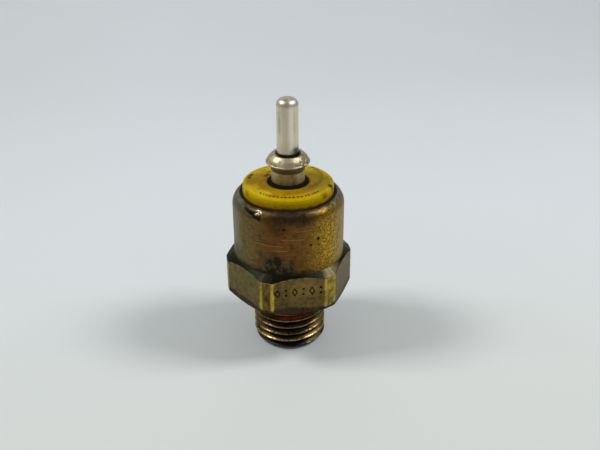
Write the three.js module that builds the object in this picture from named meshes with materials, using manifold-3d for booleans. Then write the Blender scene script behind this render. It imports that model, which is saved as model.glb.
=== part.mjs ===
// A screw-in diaphragm pressure switch with one round terminal, in millimetres, +Z up.
// The origin is the centre of the stud's end face. The switch earths through its own thread.
// Pressure enters the stud, lifts the diaphragm and with it the contact stack, and so opens the circuit.
import * as THREE from "three";
import { mergeVertices } from "three/addons/utils/BufferGeometryUtils.js";
import Module from "manifold-3d";

const wasm = await Module();
wasm.setup();

// ---- Driving dimensions ----

// Stud: M14 x 1.5
const STUD_LENGTH = 11.0;
const THREAD_MAJOR_R = 7.0;
const THREAD_PITCH = 1.5;
const THREAD_START_Z = 1.12; // height of the first whole crest on the +X side
const UNDERCUT_LENGTH = 2.4;
const UNDERCUT_DEPTH = 1.15; // below the crests
const STUD_CHAMFER = 1.0;
const THREAD_RUN_OUT = 0.5; // last stretch of thread, fading into the undercut
const SEAT_RELIEF = 0.35; // step beside the stud that keeps a washer flat on the seat
const PORT_R = 2.0;
const PORT_CHAMFER = 0.4;

// Hexagon, milled on a round bar, so its corners are narrow strips of a cylinder
const HEX_ACROSS_FLATS = 22.0;
const HEX_CORNER_TRIM = 0.65; // turned off the sharp corners
const HEX_HEIGHT = 8.2;
const HEX_TOP_SLOPE = 0.66; // rise over run of the chamfer cones
const HEX_BOTTOM_SLOPE = 0.37;
const SEAT_INSET = 0.55; // flat of the sealing seat, in from the flats

// Cup above the hexagon, with its rim rolled in over the insulator
const BODY_INSET = 0.55; // cup wall in from the hexagon's flats
const BODY_HEIGHT = 12.3; // hexagon to rolled rim
const WALL = 2.05;
const RIM_WALL = 1.15;
const RIM_BORE_DEPTH = 4.3; // the thinner wall that is rolled
const RIM_THICKNESS = 1.05;
const RIM_LAP = 0.82; // rolled lip over the insulator's flange
const RIM_ROLL_R = 1.75; // outer radius of the roll
const RIM_ROLL_HEIGHT = 2.3;
const RIM_ROLL_END = 86; // degrees round the roll, where it meets the flat of the lip
const FLOOR = 2.0; // cup floor above the sealing seat

// Diaphragm and what clamps it
const RECESS_DEPTH = 0.7;
const SEAL_GROOVE_EDGE = 0.8; // land on both sides of the seal's groove
const SEAL_GROOVE_WIDTH = 1.4;
const SEAL_GROOVE_DEPTH = 0.9;
const FILM = 0.25;
const DISH_HEIGHT = 0.9;
const DISH_LAND = 0.25; // film outside the recess, before it rises
const DISH_RUN = 0.85; // radial width of the rising part
const TRAVEL = 0.8;
const PRESSURE_PLATE = 0.8;
const PLATE_INSET = 0.1; // pressure plate inside the flat of the dish
const GUIDE_WEB = 0.85;
const PLUNGER_R = 1.8;
const SPIGOT_R = 0.95;
const SPIGOT_LENGTH = 0.6;

// Contacts
const EARTH_RING = 0.9;
const EARTH_LAND = 0.4;
const EARTH_LAND_WIDTH = 1.2;
const EARTH_LIP = 0.7; // ring inside the land
const CONTACT_PLATE = 0.6;
const CONTACT_PLATE_EDGE = 1.0; // rivet centres in from the plate's rim
const CONTACT_PLATE_GAP = 0.4; // to the insulator's skirt
const BOSS_R = 1.6;
const BOSS_HEIGHT = 1.1;
const TIP_COUNT = 3;
const TIP_R = 0.72;
const TIP_FACE_R = 0.4; // flat of the domed head
const TIP_HEAD = 0.4;
const TIP_DOME = 0.13;
const TIP_SHANK_R = 0.38;
const TIP_TAIL = 0.25;
const TIP_TAIL_R = 0.58;
const TIP_TAIL_FACE_R = 0.35;

// Spring and its adjuster
const WIRE_R = 0.3;
const COIL_R = 2.45; // centre of the wire
const COIL_PITCH = 1.15;
const SPRING_CAP = 0.6;
const SPRING_CAP_R = 3.3;
const CAP_SPIGOT = 1.0;
const SCREW_LENGTH = 4.6;
const SCREW_MAJOR_R = 2.0; // M4
const SCREW_PITCH = 0.7;
const SCREW_SLOT_WIDTH = 0.5;
const SCREW_SLOT_DEPTH = 0.8;

// Insulator
const SKIRT_WALL = 0.85;
const FLANGE = 2.6;
const ROOF = 3.35; // solid above the chamber, up to the top of the flange
const RIM_GASKET = 0.4;
const INSULATOR_PROUD = 1.85; // above the rolled rim
const INSULATOR_ROUND = 0.65;
const COUNTERBORE_DEPTH = 1.8;
const COUNTERBORE_GAP = 0.74; // around the neck
const GROMMET_PROUD = 0.45;
const GROMMET_SHOULDER = 0.2; // grommet's outer edge below the insulator's top
const GROMMET_CREST = 0.27; // middle of its sloping top above the insulator's top

// Terminal
const NECK_R = 3.1;
const NECK_PROUD = 3.15; // collar seat above the insulator
const SHANK_STEP = 0.4; // shank inside the insulator, thinner than the neck
const SLEEVE_PEEN = 0.7;
const SLEEVE_PEEN_LAP = 1.0;
const SLEEVE_PEEN_BEVEL = 0.35; // across its lower edge
const SLEEVE_PEEN_LAND = 0.17; // upright part of its edge
const CAP_DROP = 0.35; // spring cap's top below the sleeve's end
const TERMINAL_WASHER = 0.6;
const TERMINAL_WASHER_LAP = 2.5;
const COLLAR_HEIGHT = 2.45;
const COLLAR_FLARE = 0.98; // widest ring beyond the neck
const COLLAR_FOOT = 0.1; // foot beyond the neck
const COLLAR_TOP_LAND = 0.5; // flat round the countersink
const COLLAR_WAIST = 0.8; // foot up to the widest ring
const COLLAR_BAND = 0.25; // height of the widest ring
const COLLAR_CROWN = 0.12; // bulge of the cone above it
const COLLAR_SINK = 0.35; // countersink round the pin
const PIN_R = 2.0;
const PIN_LENGTH = 10.35; // above the collar
const PIN_ROUND = 1.25;
const STEM_STEP = 0.4; // stem inside the sleeve, thinner than the pin
const STEM_LENGTH = 4.4;

// Clearances
const DROP_IN = 0.08; // pieces that drop into the cup
const PRESSED = 0.02; // pressed or moulded pairs
const CONTACT_GAP = 0.02; // between closed contacts
const GUIDE_GAP = 0.08; // plunger in its guide
const THREAD_GAP = 0.07; // radial, between screw and sleeve threads

const CUT_PAST = 1; // how far a cutter runs past the face it opens

// Facets round a turned piece, and steps along the curves of an outline
const WIDE = 40;
const MIDDLE = 36;
const NARROW = 24;
const SMALL = 12;
const SCREW = 12;
const WIRE_SIDES = 8;
const COIL_STEPS = 20; // round one turn of the spring
const ROLL_STEPS = 7;
const SEAL_STEPS = 11;
const DISC_STEPS = 4;
const DOME_STEPS = 6;
const RIDGE_ROOT = 0.12; // depth of a thread ridge's foot inside its core, over its height

// ---- Heights and radii that follow from them ----

const hexTop = STUD_LENGTH + HEX_HEIGHT;
const rimTop = hexTop + BODY_HEIGHT;
const insulatorTop = rimTop + INSULATOR_PROUD;
const collarSeat = insulatorTop + NECK_PROUD;
const collarTop = collarSeat + COLLAR_HEIGHT;
const pinTop = collarTop + PIN_LENGTH;

const hexHalf = HEX_ACROSS_FLATS / 2;
const hexCornerR = HEX_ACROSS_FLATS / Math.sqrt(3) - HEX_CORNER_TRIM;
const seatR = hexHalf - SEAT_INSET;
const bodyR = hexHalf - BODY_INSET;
const bore = bodyR - WALL;
const rimBore = bodyR - RIM_WALL;
const insulatorR = rimBore - RIM_LAP;
const dropR = bore - DROP_IN;
const grooveOuter = bore - SEAL_GROOVE_EDGE;
const grooveInner = grooveOuter - SEAL_GROOVE_WIDTH;
const recessR = grooveInner - SEAL_GROOVE_EDGE;
const dishOuter = recessR + DISH_LAND;
const dishInner = dishOuter - DISH_RUN;
const plateR = dishInner - PLATE_INSET;

const floorZ = STUD_LENGTH + FLOOR;
const filmTop = floorZ + FILM;
const pressureBase = filmTop + DISH_HEIGHT + CONTACT_GAP;
const pressureTop = pressureBase + PRESSURE_PLATE;
const guideCeiling = pressureTop + TRAVEL + CONTACT_GAP;
const guideTop = guideCeiling + GUIDE_WEB;
const earthTop = guideTop + EARTH_RING;
const tipBase = earthTop + EARTH_LAND + CONTACT_GAP;
const contactBase = tipBase + TIP_HEAD;
const contactTop = contactBase + CONTACT_PLATE;

const skirtR = dropR;
const skirtInner = skirtR - SKIRT_WALL;
const contactR = skirtInner - CONTACT_PLATE_GAP;
const tipCircle = contactR - CONTACT_PLATE_EDGE;
const landInner = tipCircle - EARTH_LAND_WIDTH / 2;
const landOuter = tipCircle + EARTH_LAND_WIDTH / 2;

const rimUnderside = rimTop - RIM_THICKNESS;
const flangeTop = rimUnderside - RIM_GASKET;
const flangeBase = flangeTop - FLANGE;
const roofZ = flangeTop - ROOF;
const washerBase = roofZ - TERMINAL_WASHER;
const sleeveBase = washerBase - SLEEVE_PEEN;
const capTop = sleeveBase - CAP_DROP;
const capBase = capTop - SPRING_CAP;
const counterboreZ = insulatorTop - COUNTERBORE_DEPTH;
const counterboreR = NECK_R + COUNTERBORE_GAP;
const shankR = NECK_R - SHANK_STEP;
const peenR = shankR + SLEEVE_PEEN_LAP;
const terminalWasherR = shankR + TERMINAL_WASHER_LAP;
const collarR = NECK_R + COLLAR_FLARE;
const stemR = PIN_R - STEM_STEP;
const stemBase = collarSeat - STEM_LENGTH;

// ---- Shapes ----

/** A manifold-3d solid from a closed three.js geometry. */
function solidOf(geometry) {
  const bare = geometry.clone();
  bare.deleteAttribute("normal");
  bare.deleteAttribute("uv");
  const merged = mergeVertices(bare, 1e-5);
  return new wasm.Manifold(
    new wasm.Mesh({
      numProp: 3,
      vertProperties: merged.attributes.position.array,
      triVerts: new Uint32Array(merged.index.array),
    }),
  );
}

/** The three.js geometry of a manifold-3d solid. */
function geometryOf(solid) {
  const mesh = solid.getMesh();
  return new THREE.BufferGeometry()
    .setAttribute("position", new THREE.BufferAttribute(mesh.vertProperties, 3))
    .setIndex(new THREE.BufferAttribute(mesh.triVerts, 1));
}

/** A solid of revolution about Z. The outline lists [radius, height] anticlockwise. */
function turned(outline, facets = WIDE) {
  const points = outline.map(([r, z]) => new THREE.Vector2(r, z));
  points.push(points[0].clone());
  return new THREE.LatheGeometry(points, facets).rotateX(Math.PI / 2);
}

/** A ring or tube of rectangular section. */
function ring(inner, outer, bottom, top, facets = WIDE) {
  return turned([[inner, bottom], [outer, bottom], [outer, top], [inner, top]], facets);
}

/** Points on an elliptical arc in an outline, from one angle to another, in degrees. */
function arc(centreR, centreZ, radiusR, radiusZ, from, to, steps) {
  return Array.from({ length: steps + 1 }, (_, i) => {
    const angle = THREE.MathUtils.degToRad(from + ((to - from) * i) / steps);
    return [centreR + radiusR * Math.cos(angle), centreZ + radiusZ * Math.sin(angle)];
  });
}

/** Points on a rounded outer edge, from its side at radius r up to its top at height z. */
function quarterRound(r, z, round, steps) {
  return arc(r - round, z - round, round, round, 0, 90, steps);
}

/** A right-hand helix about Z whose frames stay radial, for threads and springs. */
class Helix extends THREE.Curve {
  constructor(radius, bottom, turns, riseOf) {
    super();
    Object.assign(this, { radius, bottom, turns, riseOf });
  }
  getPoint(t) {
    const angle = 2 * Math.PI * this.turns * t;
    const height = this.bottom + this.riseOf(this.turns * t);
    return new THREE.Vector3(
      this.radius * Math.cos(angle),
      this.radius * Math.sin(angle),
      height,
    );
  }
  getPointAt(u) {
    return this.getPoint(u);
  }
  computeFrenetFrames(steps) {
    const frames = { tangents: [], normals: [], binormals: [] };
    for (let i = 0; i <= steps; i++) {
      const angle = (2 * Math.PI * this.turns * i) / steps;
      frames.normals.push(new THREE.Vector3(Math.cos(angle), Math.sin(angle), 0));
      frames.tangents.push(new THREE.Vector3(-Math.sin(angle), Math.cos(angle), 0));
      frames.binormals.push(new THREE.Vector3(0, 0, -1));
    }
    return frames;
  }
}

/** A section swept along a helix. */
function swept(section, helix, stepsPerTurn) {
  return new THREE.ExtrudeGeometry(section, {
    steps: Math.round(stepsPerTurn * helix.turns),
    extrudePath: helix,
    curveSegments: 2,
  });
}

/** The depth of an ISO metric external thread, crest to root. */
const threadDepth = (pitch) => 0.6134 * pitch;

/** The ridge of a 60-degree thread from bottom to top, trimmed to an envelope. */
function threadRidge(majorR, pitch, crestZ, bottom, top, envelope, facets) {
  const depth = threadDepth(pitch);
  const buried = RIDGE_ROOT * depth;
  const crestHalf = pitch / 16;
  const footHalf = crestHalf + (depth + buried) * Math.tan(Math.PI / 6);
  const section = new THREE.Shape([
    new THREE.Vector2(-depth - buried, -footHalf),
    new THREE.Vector2(0, -crestHalf),
    new THREE.Vector2(0, crestHalf),
    new THREE.Vector2(-depth - buried, footHalf),
  ]);
  const firstCrest = crestZ - pitch * Math.ceil((crestZ - bottom) / pitch + 1);
  const turns = Math.ceil((top - firstCrest) / pitch) + 1;
  const helix = new Helix(majorR, firstCrest, turns, (turn) => turn * pitch);
  return solidOf(swept(section, helix, facets)).intersect(solidOf(envelope));
}

// ---- Materials ----

const material = (color, metalness, roughness) =>
  new THREE.MeshStandardMaterial({ color, metalness, roughness });
const agedBrass = material(0x7a5a2a, 1.0, 0.45);
const cleanBrass = material(0xb9974a, 1.0, 0.35);
const nickel = material(0xb9b3a6, 1.0, 0.3);
const yellowPlastic = material(0xb89c0c, 0.0, 0.5);
const blackRubber = material(0x151515, 0.0, 0.8);
const whitePlastic = material(0xd8d4c6, 0.0, 0.55);
const amberFilm = material(0xa8641a, 0.0, 0.3);
const zincSteel = material(0x9aa0a6, 1.0, 0.4);
const springSteel = material(0x6f7276, 1.0, 0.3);
const silver = material(0xd6d6d2, 1.0, 0.2);

// ---- Pieces ----

/** Material outside the hexagon's flats, to be milled away. */
function hexCutters() {
  const depth = 2 * hexCornerR;
  const box = new THREE.BoxGeometry(4 * hexCornerR, depth, HEX_HEIGHT + 2 * SEAT_RELIEF);
  box.translate(0, hexHalf + depth / 2, STUD_LENGTH + HEX_HEIGHT / 2);
  const cutters = [];
  for (let side = 0; side < 6; side++) {
    cutters.push(solidOf(box.clone().rotateZ((side * Math.PI) / 3)));
  }
  return wasm.Manifold.union(cutters);
}

/** The hexagon as a turned disc with both chamfer cones, before its flats are milled. */
function hexBlank() {
  const topEdge = hexTop - HEX_TOP_SLOPE * (hexCornerR - bodyR);
  const bottomEdge = STUD_LENGTH + HEX_BOTTOM_SLOPE * (hexCornerR - seatR);
  const reliefR = THREAD_MAJOR_R + SEAT_RELIEF;
  return turned([
    [bore, floorZ],
    [0, floorZ],
    [0, STUD_LENGTH + SEAT_RELIEF],
    [reliefR - SEAT_RELIEF, STUD_LENGTH + SEAT_RELIEF],
    [reliefR, STUD_LENGTH],
    [seatR, STUD_LENGTH],
    [hexCornerR, bottomEdge],
    [hexCornerR, topEdge],
    [bodyR, hexTop],
    [bore, hexTop],
  ]);
}

/** Stud, hexagon and cup in one brass turning. */
function makeHousing() {
  const rootR = THREAD_MAJOR_R - threadDepth(THREAD_PITCH);
  const neckR = THREAD_MAJOR_R - UNDERCUT_DEPTH;
  const threadTop = STUD_LENGTH - UNDERCUT_LENGTH;
  const endR = THREAD_MAJOR_R - STUD_CHAMFER;
  const core = turned([
    [0, 0],
    [endR, 0],
    [rootR, rootR - endR],
    [rootR, threadTop],
    [neckR, threadTop + (rootR - neckR)],
    [neckR, floorZ],
    [0, floorZ],
  ]);
  const envelope = turned([
    [0, 0],
    [endR, 0],
    [THREAD_MAJOR_R, STUD_CHAMFER],
    [THREAD_MAJOR_R, threadTop - THREAD_RUN_OUT],
    [neckR, threadTop - THREAD_RUN_OUT + UNDERCUT_DEPTH],
    [0, threadTop - THREAD_RUN_OUT + UNDERCUT_DEPTH],
  ]);
  const ridge = threadRidge(
    THREAD_MAJOR_R, THREAD_PITCH, THREAD_START_Z, 0, threadTop, envelope, WIDE,
  );
  const hexagon = solidOf(hexBlank()).subtract(hexCutters());
  const rollR = bodyR - RIM_ROLL_R;
  const cup = turned([
    [bore, floorZ],
    [bodyR, hexTop - HEX_TOP_SLOPE],
    ...arc(
      rollR, rimTop - RIM_ROLL_HEIGHT, RIM_ROLL_R, RIM_ROLL_HEIGHT, 0, RIM_ROLL_END, ROLL_STEPS,
    ),
    [insulatorR + DROP_IN, rimTop],
    [insulatorR + DROP_IN, rimUnderside],
    [rimBore, rimUnderside],
    [rimBore, rimTop - RIM_BORE_DEPTH],
    [bore, rimTop - RIM_BORE_DEPTH],
  ]);
  const port = turned([
    [0, -CUT_PAST],
    [PORT_R + PORT_CHAMFER + CUT_PAST, -CUT_PAST],
    [PORT_R, PORT_CHAMFER],
    [PORT_R, floorZ + CUT_PAST],
    [0, floorZ + CUT_PAST],
  ], NARROW);
  const recess = ring(0, recessR, floorZ - RECESS_DEPTH, floorZ + CUT_PAST);
  const groove = ring(grooveInner, grooveOuter, floorZ - SEAL_GROOVE_DEPTH, floorZ + CUT_PAST);
  const metal = wasm.Manifold.union([solidOf(core), ridge, hexagon, solidOf(cup)]);
  const hollows = wasm.Manifold.union([port, recess, groove].map(solidOf));
  return geometryOf(metal.subtract(hollows));
}

/** A round-section ring, squeezed to the height of its groove. */
function makeDiaphragmSeal() {
  const squeeze = SEAL_GROOVE_DEPTH / 2 - PRESSED;
  const bulge = SEAL_GROOVE_WIDTH / 2 - PRESSED;
  const centreZ = floorZ - SEAL_GROOVE_DEPTH / 2;
  const centreR = grooveInner + SEAL_GROOVE_WIDTH / 2;
  const almostRound = 360 - 360 / (SEAL_STEPS + 1);
  return turned(arc(centreR, centreZ, bulge, squeeze, 0, almostRound, SEAL_STEPS));
}

/** A formed film: flat rim, rising step, flat centre. */
function makeDiaphragm() {
  return turned([
    [0, filmTop + DISH_HEIGHT - FILM],
    [dishInner - FILM, filmTop + DISH_HEIGHT - FILM],
    [dishOuter - FILM, floorZ],
    [dropR, floorZ],
    [dropR, filmTop],
    [dishOuter, filmTop],
    [dishInner, filmTop + DISH_HEIGHT],
    [0, filmTop + DISH_HEIGHT],
  ]);
}

/** Clamps the diaphragm's rim, guides the plunger and stops the pressure plate. */
function makeSupportRing() {
  const pocketR = dishOuter + DISH_LAND;
  return turned([
    [pocketR, filmTop],
    [dropR, filmTop],
    [dropR, guideTop],
    [PLUNGER_R + GUIDE_GAP, guideTop],
    [PLUNGER_R + GUIDE_GAP, guideCeiling],
    [pocketR, guideCeiling],
  ]);
}

/** A disc on the film's flat centre, with a hole for the plunger's spigot. */
function makePressurePlate() {
  return turned([
    [SPIGOT_R + PRESSED, pressureBase],
    [plateR, pressureBase],
    [plateR, pressureTop],
    [SPIGOT_R + PRESSED, pressureTop],
  ]);
}

/** Carries the pressure plate's push through the guide, and insulates the live stack from it. */
function makePlunger() {
  return turned([
    [0, pressureTop - SPIGOT_LENGTH],
    [SPIGOT_R, pressureTop - SPIGOT_LENGTH],
    [SPIGOT_R, pressureTop],
    [PLUNGER_R, pressureTop],
    [PLUNGER_R, contactBase],
    [0, contactBase],
  ], NARROW);
}

/** The fixed contact: a ring with a raised land, earthed through the housing. */
function makeEarthRing() {
  return turned([
    [landInner - EARTH_LIP, guideTop],
    [dropR, guideTop],
    [dropR, earthTop],
    [landOuter, earthTop],
    [landOuter, earthTop + EARTH_LAND],
    [landInner, earthTop + EARTH_LAND],
    [landInner, earthTop],
    [landInner - EARTH_LIP, earthTop],
  ]);
}

/** Where a rivet stands on the contact plate. */
function tipPlace(index) {
  const angle = (2 * Math.PI * index) / TIP_COUNT + Math.PI / 2;
  return [tipCircle * Math.cos(angle), tipCircle * Math.sin(angle)];
}

/** The moving contact: a disc with rivet holes, and a boss that centres the spring. */
function makeContactPlate() {
  const plate = turned([
    [0, contactBase],
    [contactR, contactBase],
    [contactR, contactTop],
    [BOSS_R, contactTop],
    [BOSS_R, contactTop + BOSS_HEIGHT],
    [0, contactTop + BOSS_HEIGHT],
  ]);
  const holes = Array.from({ length: TIP_COUNT }, (_, i) => {
    const [x, y] = tipPlace(i);
    const bottom = contactBase - CUT_PAST;
    const top = contactTop + CUT_PAST;
    return solidOf(ring(0, TIP_SHANK_R + PRESSED, bottom, top, SMALL).translate(x, y, 0));
  });
  return geometryOf(solidOf(plate).subtract(wasm.Manifold.union(holes)));
}

/** A silver rivet through the contact plate, its domed head below. */
function makeTip(index) {
  const [x, y] = tipPlace(index);
  const rivet = turned([
    [0, tipBase],
    [TIP_FACE_R, tipBase],
    [TIP_R, tipBase + TIP_DOME],
    [TIP_R, contactBase],
    [TIP_SHANK_R, contactBase],
    [TIP_SHANK_R, contactTop],
    [TIP_TAIL_R, contactTop],
    [TIP_TAIL_R, contactTop + TIP_TAIL / 2],
    [TIP_TAIL_FACE_R, contactTop + TIP_TAIL],
    [0, contactTop + TIP_TAIL],
  ], SMALL);
  return rivet.translate(x, y, 0);
}

/** A compression spring with a closed coil at each end. */
function makeSpring() {
  const bottom = contactTop + WIRE_R + PRESSED;
  const top = capBase - WIRE_R - PRESSED;
  const closed = 2 * WIRE_R + PRESSED;
  const openTurns = Math.max(1, Math.round((top - bottom - 2 * closed) / COIL_PITCH));
  const openRise = top - bottom - 2 * closed;
  const rise = (turn) => {
    if (turn < 1) return turn * closed;
    if (turn < 1 + openTurns) return closed + ((turn - 1) * openRise) / openTurns;
    return closed + openRise + (turn - 1 - openTurns) * closed;
  };
  return swept(wireSection(), new Helix(COIL_R, bottom, openTurns + 2, rise), COIL_STEPS);
}

/** A many-sided section of the spring's wire. */
function wireSection() {
  const corners = Array.from({ length: WIRE_SIDES }, (_, i) => {
    const angle = (2 * Math.PI * (i + 0.5)) / WIRE_SIDES;
    return new THREE.Vector2(WIRE_R * Math.cos(angle), WIRE_R * Math.sin(angle));
  });
  return new THREE.Shape(corners);
}

/** Carries the adjusting screw's push to the spring, and centres the spring's upper end. */
function makeSpringCap() {
  return turned([
    [0, capBase - CAP_SPIGOT],
    [BOSS_R, capBase - CAP_SPIGOT],
    [BOSS_R, capBase],
    [SPRING_CAP_R, capBase],
    [SPRING_CAP_R, capTop],
    [0, capTop],
  ], NARROW);
}

/** A threaded rod from bottom to top, grown outwards by a clearance. */
function threadedRod(bottom, top, growth) {
  const majorR = SCREW_MAJOR_R + growth;
  const rootR = majorR - threadDepth(SCREW_PITCH);
  const core = solidOf(ring(0, rootR, bottom, top, SCREW));
  const envelope = ring(0, majorR, bottom, top, SCREW);
  return core.add(
    threadRidge(majorR, SCREW_PITCH, capTop, bottom, top, envelope, SCREW),
  );
}

/** The slotted screw in the sleeve that sets the spring's load. */
function makeAdjustingScrew() {
  const top = capTop + SCREW_LENGTH;
  const slot = new THREE.BoxGeometry(4 * SCREW_MAJOR_R, SCREW_SLOT_WIDTH, 2 * SCREW_SLOT_DEPTH);
  slot.translate(0, 0, top);
  return geometryOf(threadedRod(capTop + PRESSED, top, 0).subtract(solidOf(slot)));
}

/** The moulded disc and skirt that carry the terminal and hold it off the earthed cup. */
function makeInsulator() {
  return turned([
    [shankR + PRESSED, roofZ],
    [skirtInner, roofZ],
    [skirtInner, earthTop],
    [skirtR, earthTop],
    [skirtR, flangeBase],
    [rimBore - DROP_IN, flangeBase],
    [rimBore - DROP_IN, flangeTop],
    [insulatorR, flangeTop],
    ...quarterRound(insulatorR, insulatorTop, INSULATOR_ROUND, DISC_STEPS),
    [counterboreR, insulatorTop],
    [counterboreR, counterboreZ],
    [shankR + PRESSED, counterboreZ],
  ]);
}

/** Fills the space between the insulator's flange and the rolled lip. */
function makeRimGasket() {
  return ring(insulatorR + PRESSED, rimBore - DROP_IN, flangeTop, rimUnderside);
}

/** Spreads the sleeve's peened end over the plastic. */
function makeTerminalWasher() {
  return ring(shankR + PRESSED, terminalWasherR, washerBase, roofZ);
}

/** A rubber ring that seals the neck in the insulator's counterbore. */
function makeGrommet() {
  return turned([
    [NECK_R + PRESSED, counterboreZ],
    [counterboreR - PRESSED, counterboreZ],
    [counterboreR - PRESSED, insulatorTop - GROMMET_SHOULDER],
    [NECK_R + COUNTERBORE_GAP / 2, insulatorTop + GROMMET_CREST],
    [NECK_R + PRESSED, insulatorTop + GROMMET_PROUD],
  ]);
}

/** The live sleeve: neck above, shank through the insulator, peened end and screw thread below. */
function makeSleeve() {
  const blank = turned([
    [0, sleeveBase],
    [peenR - SLEEVE_PEEN_BEVEL, sleeveBase],
    [peenR, washerBase - SLEEVE_PEEN_LAND],
    [peenR, washerBase],
    [shankR, washerBase],
    [shankR, counterboreZ],
    [NECK_R, counterboreZ],
    [NECK_R, collarSeat],
    [0, collarSeat],
  ], NARROW);
  const boreTop = collarSeat + CUT_PAST;
  const stemBore = ring(0, stemR + PRESSED, stemBase - PRESSED, boreTop, NARROW);
  const thread = threadedRod(sleeveBase - CUT_PAST, stemBase, THREAD_GAP);
  return geometryOf(solidOf(blank).subtract(solidOf(stemBore)).subtract(thread));
}

/** The bevelled ring that a boot snaps over. */
function makeCollar() {
  const waistZ = collarSeat + COLLAR_WAIST;
  const sinkR = PIN_R + PRESSED + COLLAR_SINK;
  const landR = sinkR + COLLAR_TOP_LAND;
  const bandTop = waistZ + COLLAR_BAND;
  return turned([
    [PIN_R + PRESSED, collarSeat],
    [NECK_R + COLLAR_FOOT, collarSeat],
    [collarR - COLLAR_BAND / 2, waistZ - COLLAR_BAND / 2],
    [collarR, waistZ],
    [collarR, waistZ + COLLAR_BAND / 2],
    [collarR - COLLAR_BAND / 2, bandTop],
    [(collarR + landR) / 2 + COLLAR_CROWN, (bandTop + collarTop) / 2],
    [landR, collarTop],
    [sinkR, collarTop],
    [PIN_R + PRESSED, collarTop - COLLAR_SINK],
  ], MIDDLE);
}

/** The round terminal: a domed pin on a thinner stem that is pressed into the sleeve. */
function makePin() {
  return turned([
    [0, stemBase],
    [stemR, stemBase],
    [stemR, collarSeat],
    [PIN_R, collarSeat],
    ...quarterRound(PIN_R, pinTop, PIN_ROUND, DOME_STEPS),
    [0, pinTop],
  ], NARROW);
}

// ---- Assembly ----

const assembly = new THREE.Group();
const add = (name, geometry, finish) => {
  const mesh = new THREE.Mesh(geometry, finish);
  mesh.name = name;
  assembly.add(mesh);
};

add("housing", makeHousing(), agedBrass);
add("diaphragm_seal", makeDiaphragmSeal(), blackRubber);
add("diaphragm", makeDiaphragm(), amberFilm);
add("support_ring", makeSupportRing(), zincSteel);
add("pressure_plate", makePressurePlate(), cleanBrass);
add("plunger", makePlunger(), whitePlastic);
add("earth_contact_ring", makeEarthRing(), cleanBrass);
add("contact_plate", makeContactPlate(), cleanBrass);
for (let i = 0; i < TIP_COUNT; i++) add(`contact_tip_${i + 1}`, makeTip(i), silver);
add("contact_spring", makeSpring(), springSteel);
add("spring_cap", makeSpringCap(), cleanBrass);
add("adjusting_screw", makeAdjustingScrew(), cleanBrass);
add("terminal_washer", makeTerminalWasher(), zincSteel);
add("insulator", makeInsulator(), yellowPlastic);
add("rim_gasket", makeRimGasket(), blackRubber);
add("terminal_grommet", makeGrommet(), blackRubber);
add("terminal_sleeve", makeSleeve(), nickel);
add("terminal_collar", makeCollar(), nickel);
add("terminal_pin", makePin(), nickel);

export default assembly;
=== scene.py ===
"""Looks of a screw-in diaphragm pressure switch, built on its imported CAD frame.

Outlines are in millimetres: (radius, height) or (radius, height, fillet radius) about the axis.
Azimuths on the part are in degrees, from 0 facing the camera to positive on its right.
"""

import math

import bmesh
import bpy
from mathutils import Matrix, Vector, noise


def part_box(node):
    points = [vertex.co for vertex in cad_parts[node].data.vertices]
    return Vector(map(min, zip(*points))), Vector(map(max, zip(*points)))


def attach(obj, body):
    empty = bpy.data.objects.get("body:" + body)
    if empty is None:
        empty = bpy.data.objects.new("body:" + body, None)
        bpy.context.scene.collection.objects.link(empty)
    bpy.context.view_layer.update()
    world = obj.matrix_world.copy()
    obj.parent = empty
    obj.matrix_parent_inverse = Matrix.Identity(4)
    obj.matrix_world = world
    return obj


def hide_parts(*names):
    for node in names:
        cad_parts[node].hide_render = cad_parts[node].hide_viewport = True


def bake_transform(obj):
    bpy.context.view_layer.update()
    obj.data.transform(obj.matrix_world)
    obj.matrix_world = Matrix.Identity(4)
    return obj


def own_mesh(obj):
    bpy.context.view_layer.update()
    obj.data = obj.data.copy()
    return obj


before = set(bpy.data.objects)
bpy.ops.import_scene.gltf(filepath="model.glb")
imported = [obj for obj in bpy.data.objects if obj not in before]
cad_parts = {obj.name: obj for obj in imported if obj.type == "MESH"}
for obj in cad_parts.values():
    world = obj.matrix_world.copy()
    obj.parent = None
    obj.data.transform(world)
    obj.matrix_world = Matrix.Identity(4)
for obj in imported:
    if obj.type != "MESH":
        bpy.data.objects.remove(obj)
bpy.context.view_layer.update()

# ---- Sizes, in millimetres ----

MM = 0.001
CAMERA_AZIMUTH = -10.28  # degrees; the front flat faces -Y, and the camera stands a little to its left
CAMERA_ELEVATION = 27.776
CAMERA_DISTANCE = 151.56
CAMERA_LENS = 47.83
CAMERA_ROLL = -0.24
AIM_RIGHT = 2.163  # the switch stands left of the picture's middle
AIM_HEIGHT = 24.055


def low(node):
    """Lowest corner of a CAD node, in millimetres."""
    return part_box(node)[0] / MM


def high(node):
    """Highest corner of a CAD node, in millimetres."""
    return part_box(node)[1] / MM


def extent(node):
    """A CAD node's lowest and highest height and its outer radius, in millimetres."""
    return low(node).z, high(node).z, high(node).x


# Stud, M14 x 1.5
STUD_LENGTH = 11.0
THREAD_R = 7.0
THREAD_PITCH = 1.5
THREAD_START_Z = 1.12
THREAD_SHAPE = 0.6134  # depth of an ISO metric thread, in pitches
THREAD_DEPTH = THREAD_SHAPE * THREAD_PITCH
THREAD_TOP = STUD_LENGTH - 2.4
UNDERCUT_R = THREAD_R - 1.15
STUD_END_R = THREAD_R - 1.0
SEAT_RELIEF = 0.35
PORT_R = 2.0
PORT_CHAMFER = 0.4

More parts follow.
